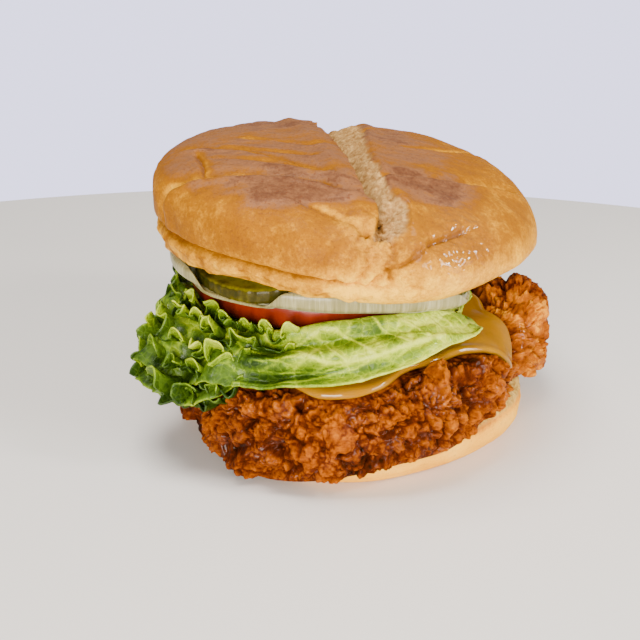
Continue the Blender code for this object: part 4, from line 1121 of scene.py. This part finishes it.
# Crown, the upper bun half
crown = {
    "spokes": 560, "frontCrowding": 0.4, "upperRings": 134, "lowerRings": 38, "underside": 57.0, "peak": 85.6,
    "radius": {0: 59.6, 45: 60, 90: 59.5, 135: 59.5, 180: 58.3, 225: 57.8, 270: 59, 315: 59.6},
    "squareness": {0: 2.2, 35: 2.75, 65: 3.1, 120: 3.4, 180: 3.4, 230: 3.1, 270: 2.5, 315: 2.2},
    "equator": {0: 62, 90: 66, 180: 69, 225: 68.5, 270: 65.5, 315: 63.5},
    "rimDrop": {0: -0.6, 60: 0.6, 180: 1.2, 205: 1.2, 229: -0.5, 239: -1.3, 257: -0.6, 267: -0.5, 279: 0.9,
                290: 1.0, 310: -0.5, 335: -1.4},
    "rimInset": 6.5, "hollowInset": 11.0, "rightDrop": 1.2, "swell": (0.7, 24.0, 5.0),
    "split": [(-9, 48), (-7, 30), (-4.5, 14), (-1.5, 0), (1, -14), (2.8, -27), (5, -36), (8.3, -41.5),
              (9.2, -46), (8.2, -52)],
    "splitHalf": 5.1, "splitDepth": 7.5,
    "creases": [  # path, half width, depth, and how far the dough behind it steps down
        ([(-53, -24), (-46, -27), (-36, -28.3), (-18, -30.5), (-7, -34), (0, -38)], 2.6, 2.2, 1.5),
        ([(-50, 0), (-40, -3.5), (-30, -8), (-20, -16), (-12, -23), (-6, -27)], 2.4, 1.6, 1.0),
        ([(6, -26.5), (12, -24), (19, -21), (33, -16.5), (50, -6)], 2.6, 2.0, 1.3),
        ([(32, -42), (27, -46.5), (21.5, -51)], 3.2, 2.6, 0.6),
        ([(-12, -45), (-5, -48.5), (2, -52)], 3.0, 1.1, 0.5),
        ([(-30, 46), (-14, 30), (4, 27), (22, 36)], 2.6, 1.6, 0.6),
        ([(20, 8), (34, 14), (46, 24)], 2.6, 1.3, 0.5), ([(-44, -8), (-41, -18), (-40, -27)], 1.6, 1.3, 0.5),
        ([(-38, -14), (-22, -20), (-8, -27)], 1.5, 0.9, 0.3),
        ([(-36, -3), (-22, -9), (-10, -13)], 1.4, 0.9, 0.3),
        ([(-30, 6), (-18, 2), (-8, -3)], 1.4, 0.7, 0.2)],
    "frontCreases": [  # path, half width and depth of the wrinkles below the split
        ([(9, -49, 80), (5, -53, 76), (-1, -56, 71), (-3, -58, 65)], 1.3, 1.0),
        ([(10, -51, 78), (13, -54.5, 73), (11, -57.5, 68), (12, -59, 62)], 1.5, 1.4),
        ([(20, -53, 71), (16, -56, 69), (11, -58, 67), (6, -59, 62)], 1.3, 1.2),
        ([(9, -52, 77), (6, -55.5, 73), (5, -58, 68), (2, -59.5, 61)], 1.0, 0.8)],
    "foldHeight": {150: 64, 180: 65.5, 215: 66.2, 245: 65.5, 265: 63.5, 280: 61.5, 320: 60},
    "foldDepth": {60: 0.2, 140: 1.0, 185: 2.0, 230: 2.5, 258: 2.2, 276: 1.0, 292: 0.3, 330: 0.1},
    "foldHalf": 2.4,
    "dents": [  # place, size and depth; a negative depth is a bump
        ((-6.2, -50.5, 80), 4.0, 0.9), ((0.5, -52.5, 78), 3.0, -0.9), ((-1.9, -56.5, 73), 3.4, -0.6),
        ((4.5, -52.0, 77), 2.4, 1.0), ((10, -57, 67), 7.0, 2.6), ((8, -52, 76), 4.0, 1.4),
        ((22, -55, 67), 3.0, 0.5), ((-20, -53, 76), 5.0, 0.5),
        ((30, -47, 71), 2.5, 0.6), ((34, -42, 74), 2.5, 0.5), ((27, -51, 68), 2.2, 0.5),
        ((3, -59, 64), 3.0, 0.6),
        ((16, -58, 63), 3.5, 0.7), ((-50, -30, 70), 4.0, 0.8), ((-55, -20, 66), 4.0, 0.8)],
    "toast": [  # plan place, size and strength of the darkest baked patches
        ((-4, -39.5), 9, 0.30), ((-17, -37), 14, 0.34), ((20.0, -27.5), 14, 0.36), ((34, -23), 15, 0.36),
        ((-25, -12), 22, 0.14), ((27.3, 8.3), 20, 0.12), ((0, 30), 26, 0.12), ((-30, 28), 18, 0.1)],
    "crackle": ((8.4, -54.0, 75.0), 7.5), "valley": ((7.5, -57, 66), 9.0),  # place and size
    "oil": [((31, -40, 76), 9), ((28, -51, 68.5), 7.5), ((36, -44, 71), 6)],
}


def crownFinish():
    material, tree, shader = finishOf("crownCrust", Specular_IOR_Level=0.04, Coat_Roughness=0.09)
    bake = variedBy(tree, markOf(tree, "bake"), 5.0, 0.09, 6.0, 0.65)
    crust = shadesOf(tree, variedBy(tree, bake, 1.1, 0.10, 5.0, 0.7), [
        (0.0, (0.92, 0.49, 0.025)), (0.2, (0.60, 0.255, 0.003)), (0.4, (0.30, 0.105, 0.0)),
        (0.54, (0.245, 0.080, 0.001)), (0.78, (0.22, 0.090, 0.036)), (1.0, (0.11, 0.040, 0.017))])
    specks = rangeOf(tree, grainOf(tree, 0.75, 1.0), 0.61, 0.69)
    speckShare = mathOf(tree, "MULTIPLY", specks, rangeOf(tree, markOf(tree, "bake"), 0.3, 0.85, 0.2, 0.75))
    crust = mixOf(tree, speckShare, crust, (0.12, 0.035, 0.012))
    # The crumb is painted darker deep in the split: painted shade
    sunk = mathOf(tree, "MULTIPLY", markOf(tree, "deep"), 0.4)
    crumb = shadesOf(tree, mathOf(tree, "SUBTRACT", grainOf(tree, 1.6, 5.0, 0.7), sunk), [
        (0.05, (0.03, 0.009, 0.002)), (0.3, (0.19, 0.082, 0.018)), (0.5, (0.38, 0.205, 0.065)),
        (0.7, (0.60, 0.37, 0.13))])
    tree.links.new(mixOf(tree, markOf(tree, "crumb"), crust, crumb), shader.inputs["Base Color"])
    dull = rangeOf(tree, grainOf(tree, 6.0, 3.0), 0.35, 0.65, 0.38, 0.52)
    dull = mathOf(tree, "ADD", dull, mathOf(tree, "MULTIPLY", markOf(tree, "crumb"), 0.4))
    dull = mathOf(tree, "SUBTRACT", dull, mathOf(tree, "MULTIPLY", markOf(tree, "oil"), 0.26))
    tree.links.new(dull, shader.inputs["Roughness"])
    tree.links.new(rangeOf(tree, markOf(tree, "oil"), 0.0, 1.0, 0.015, 0.8), shader.inputs["Coat Weight"])
    bumpOf(tree, shader, grainOf(tree, 0.7, 5.0, 0.65), 0.28, 0.9)
    return material


def crownBase(bearing, phi):  # phi is 0 at the peak, 90 where the crown is widest and 180 at its rim
    reach = aroundTable(crown["radius"], bearing)
    power = 2 / aroundTable(crown["squareness"], bearing)
    equator = aroundTable(crown["equator"], bearing)
    rim = crown["underside"] - aroundTable(crown["rimDrop"], bearing)
    s, c = np.sin(np.radians(phi)), np.cos(np.radians(phi))
    upper = phi <= 90
    r = np.where(upper, reach * np.abs(s) ** power, reach - crown["rimInset"] * (1 - s))
    z = np.where(upper, equator + (crown["peak"] - equator) * np.abs(c) ** power, equator + (equator - rim) * c)
    plan = ways(bearing) * r[..., None]
    z = z - stackLean * plan[..., 0] - crown["rightDrop"] * ramp(plan[..., 0], -6, 10) * upper * np.abs(c)
    return np.concatenate([plan, z[..., None]], -1)


def makeCrown():
    bearings = crowded(crown["spokes"], crown["frontCrowding"])
    phis = np.concatenate([np.linspace(0, 90, crown["upperRings"], endpoint=False),
                           np.linspace(90, 180, crown["lowerRings"])])
    gridB, gridP = np.meshgrid(bearings, phis)
    skin = crownBase(gridB, gridP)
    outward = outwardOf(skin)
    outward[0] = (0, 0, 1)
    x, y, z = np.moveaxis(skin, -1, 0)
    bearing = np.degrees(np.arctan2(y, x))
    height, size, seed = crown["swell"]
    lift = height * cloud(skin, size, seed)
    high = ramp(z, 66, 72)
    # Split: a steep wall on its left, and on its right a slope of torn crumb
    away, side = pathDistance(x, y, crown["split"])
    half = crown["splitHalf"] * (1 + 0.8 * ramp(y, -10, 40))
    # The path runs forward, so its left is the burger's right
    across = away * side + 0.5 * cloud(skin, 7.0, 23.0)
    ragged = across + 1.1 * cloud(skin, 5.0, 29.0, 3)
    left = 1 - ramp(-across, 0.15 * half, 0.4 * half)
    right = (1 - np.clip(ragged / (1.75 * half), 0, 1)) ** 1.1
    along = ramp(y, -57, -39)
    press = crown["splitDepth"] * np.where(across < 0, left, right) * high * along
    lip = 1.1 * hump(across + 1.1 * half, 2.6) + 0.8 * hump(across - 1.8 * half, 2.2)
    lip = lip * ramp(y, -58, -45)
    slide = 1.8 * hump(across + 0.5 * half, 0.42 * half) * high * along  # the left lip leans over the split
    # How deep in the split, for the crumb's painted shade there
    deep = 1.2 * hump(across + 0.15 * half, 0.45 * half) * along
    torn = ramp(press, 0.3, 1.1) * high * ramp(across, -0.4 * half, -0.15 * half)
    # Creases, the fold over the rim, dents and bumps
    golden, dark = np.zeros_like(x), np.zeros_like(x)
    wander = cloud(skin, 5.0, 43.0, 2)
    for path, halfWidth, depth, step in crown["creases"]:
        far, behind = pathDistance(x, y, path)
        near = 1 - ramp(far, 2 * halfWidth, 3 * halfWidth)
        beyond = far * behind + 0.4 * wander
        groove = 0.3 * (1 - ramp(np.abs(beyond), 0, halfWidth)) + 0.6 * hump(beyond, 0.55)
        ledge = step * (1 - ramp(beyond, 0.4, 2.4 * halfWidth)) * ramp(beyond, -0.3, 0.4)
        press = np.maximum(press, (depth * groove + ledge) * near * high)
        lift = lift + 0.45 * step * hump(beyond + 2.0, 1.7) * near * high
        golden = np.maximum(golden, hump(beyond - 1.3, 1.5) * near * min(1.0, depth))
        # A thin line along each crease's bottom, painted darker below: painted shade
        dark = np.maximum(dark, hump(beyond, 0.4) * near * min(1.0, 0.6 * depth))
    fold = z - aroundTable(crown["foldHeight"], bearing)
    foldDepth = aroundTable(crown["foldDepth"], bearing)
    foldLine = hump(fold + 0.9 * cloud(skin, 9.0, 33.0, 2), 0.55)
    press = press + foldDepth * (0.5 * (1 - ramp(np.abs(fold), 0, crown["foldHalf"])) + 0.75 * foldLine)
    wrinkles = np.zeros_like(x)
    bent = skin + 0.9 * cloudShift(skin, 3.2, (81.0, 83.0, 87.0), 3)
    for path, halfWidth, depth in crown["frontCreases"]:
        far = lineDistance(bent, path)
        press = press + depth * (0.7 * hump(far, halfWidth) + 0.5 * hump(far, 0.45))
        lift = lift + 0.4 * depth * hump(far - 2.4, 1.5)
        wrinkles = np.maximum(wrinkles, depth * hump(far, 0.8))
    for place, dentSize, depth in crown["dents"]:
        press = press + depth * humpAt(skin, place, dentSize)
    crackle = humpAt(skin, *crown["crackle"])
    oil = np.clip(sum(humpAt(skin, *spot) for spot in crown["oil"]), 0, 1)
    _, cracks = cells(skin + 0.5 * cloudShift(skin, 2.5, (3.0, 7.0, 9.0)), 2.9, 5.0)
    pores, _ = cells(skin, 1.4, 8.0)
    lift = lift + lip * high + crackle * (1.3 * cloud(skin, 4.5, 3.0, 4) - 0.9 * (1 - ramp(cracks, 0, 0.22)))
    lift = lift + torn * (1.3 * cloud(skin, 3.6, 7.0, 3) - 0.7 * (1 - ramp(pores, 0.15, 0.5)))
    crinkle = ramp(-fold, 0.2, 2.0) * ramp(foldDepth, 0.5, 1.4)
    crumpled = 1.1 * cloud(skin * (0.8, 0.8, 1.2), 5.5, 2.0, 3) + 0.25 * cloud(skin, 2.2, 71.0, 2) + 0.5
    lift = lift + crinkle * crumpled
    lift = lift + 0.16 * cloud(skin, 4.5, 11.0, 4) + oil * 0.45 * cloud(skin, 2.6, 13.0, 2)
    valleyPlace, valleySize = crown["valley"]
    valley = hump(np.linalg.norm((skin - valleyPlace) * (1, 1, 0.8), axis=-1), valleySize)
    lift = lift + valley * 0.9 * cloud(skin * (1.0, 1.0, 0.6), 4.2, 61.0, 4)
    streaks = cloud(skin * (0.45, 1.6, 1.0), 5.0, 17.0, 3)
    topMost = ramp(z, 74, 82)
    lift = lift + 0.24 * streaks * topMost
    skin = skin + outward * ((lift - press) * ramp(-gridP, -175, -150))[..., None]
    skin[..., 0] += slide
    # How far it is baked: cream at the rim, golden sides, toasted top; it also carries painted shade in the
    # creases, the rim's fold and the front wrinkles
    bake = 0.16 + 0.27 * ramp(z, 61, 71) + 0.10 * cloud(skin, 14.0, 9.0) + 0.24 * ramp(z, 79.5, 83)
    bake = bake - 0.15 * hump(np.hypot((skin[..., 0] - 4) / 1.7, skin[..., 2] - 60), 8) * ramp(-y, 20, 45)
    for place, patch, strength in crown["toast"]:
        reach = np.hypot(x - place[0], 1.25 * (y - place[1])) + 6.0 * cloud(skin * (0.6, 1.5, 1), 5.0, 19.0, 5)
        bake = bake + strength * (1 - ramp(reach, 0.45 * patch, 1.3 * patch)) * ramp(z, 74, 79)
    # The creases' bottoms are painted darker: painted shade
    bake = bake - 0.34 * golden * topMost + 0.22 * dark + 0.12 * streaks * topMost - 0.24 * crackle
    bake = bake + 0.10 * valley * cloud(skin * (1.0, 1.0, 0.6), 4.2, 61.0, 3)
    bake = bake + 0.16 * crinkle * ramp(-cloud(skin * (1, 1, 0.8), 4.0, 2.0, 4), -0.1, 0.4)
    # Darker along the rim's fold line and the front wrinkles: painted shade
    bake = bake + 0.30 * foldLine * ramp(foldDepth, 0.4, 1.6) + 0.16 * wrinkles
    bake = np.minimum(bake, 0.92)
    hollow = aroundTable(crown["radius"], bearings) - crown["hollowInset"]
    underside = []
    for share in (1.0, 0.66, 0.33, 0.0):
        plan = ways(bearings) * (hollow * share)[:, None]
        underside.append(np.column_stack([plan, crown["underside"] - stackLean * plan[:, 0]]))
    rings = np.concatenate([skin, underside])
    flat = np.zeros((len(underside), len(bearings)))
    marks = {"bake": np.clip(np.concatenate([bake, flat]), 0, 1),
             "crumb": np.clip(np.concatenate([np.maximum(torn, 0.15 * crackle), flat + 1]), 0, 1),
             "oil": np.concatenate([oil, flat]), "deep": np.concatenate([deep, flat])}
    return ringSolid("bunCrown", rings, marks, crownFinish())


bunCrown = makeCrown()
settle(bunCrown, "bun_crown", "bun_crown")
print("crown made")
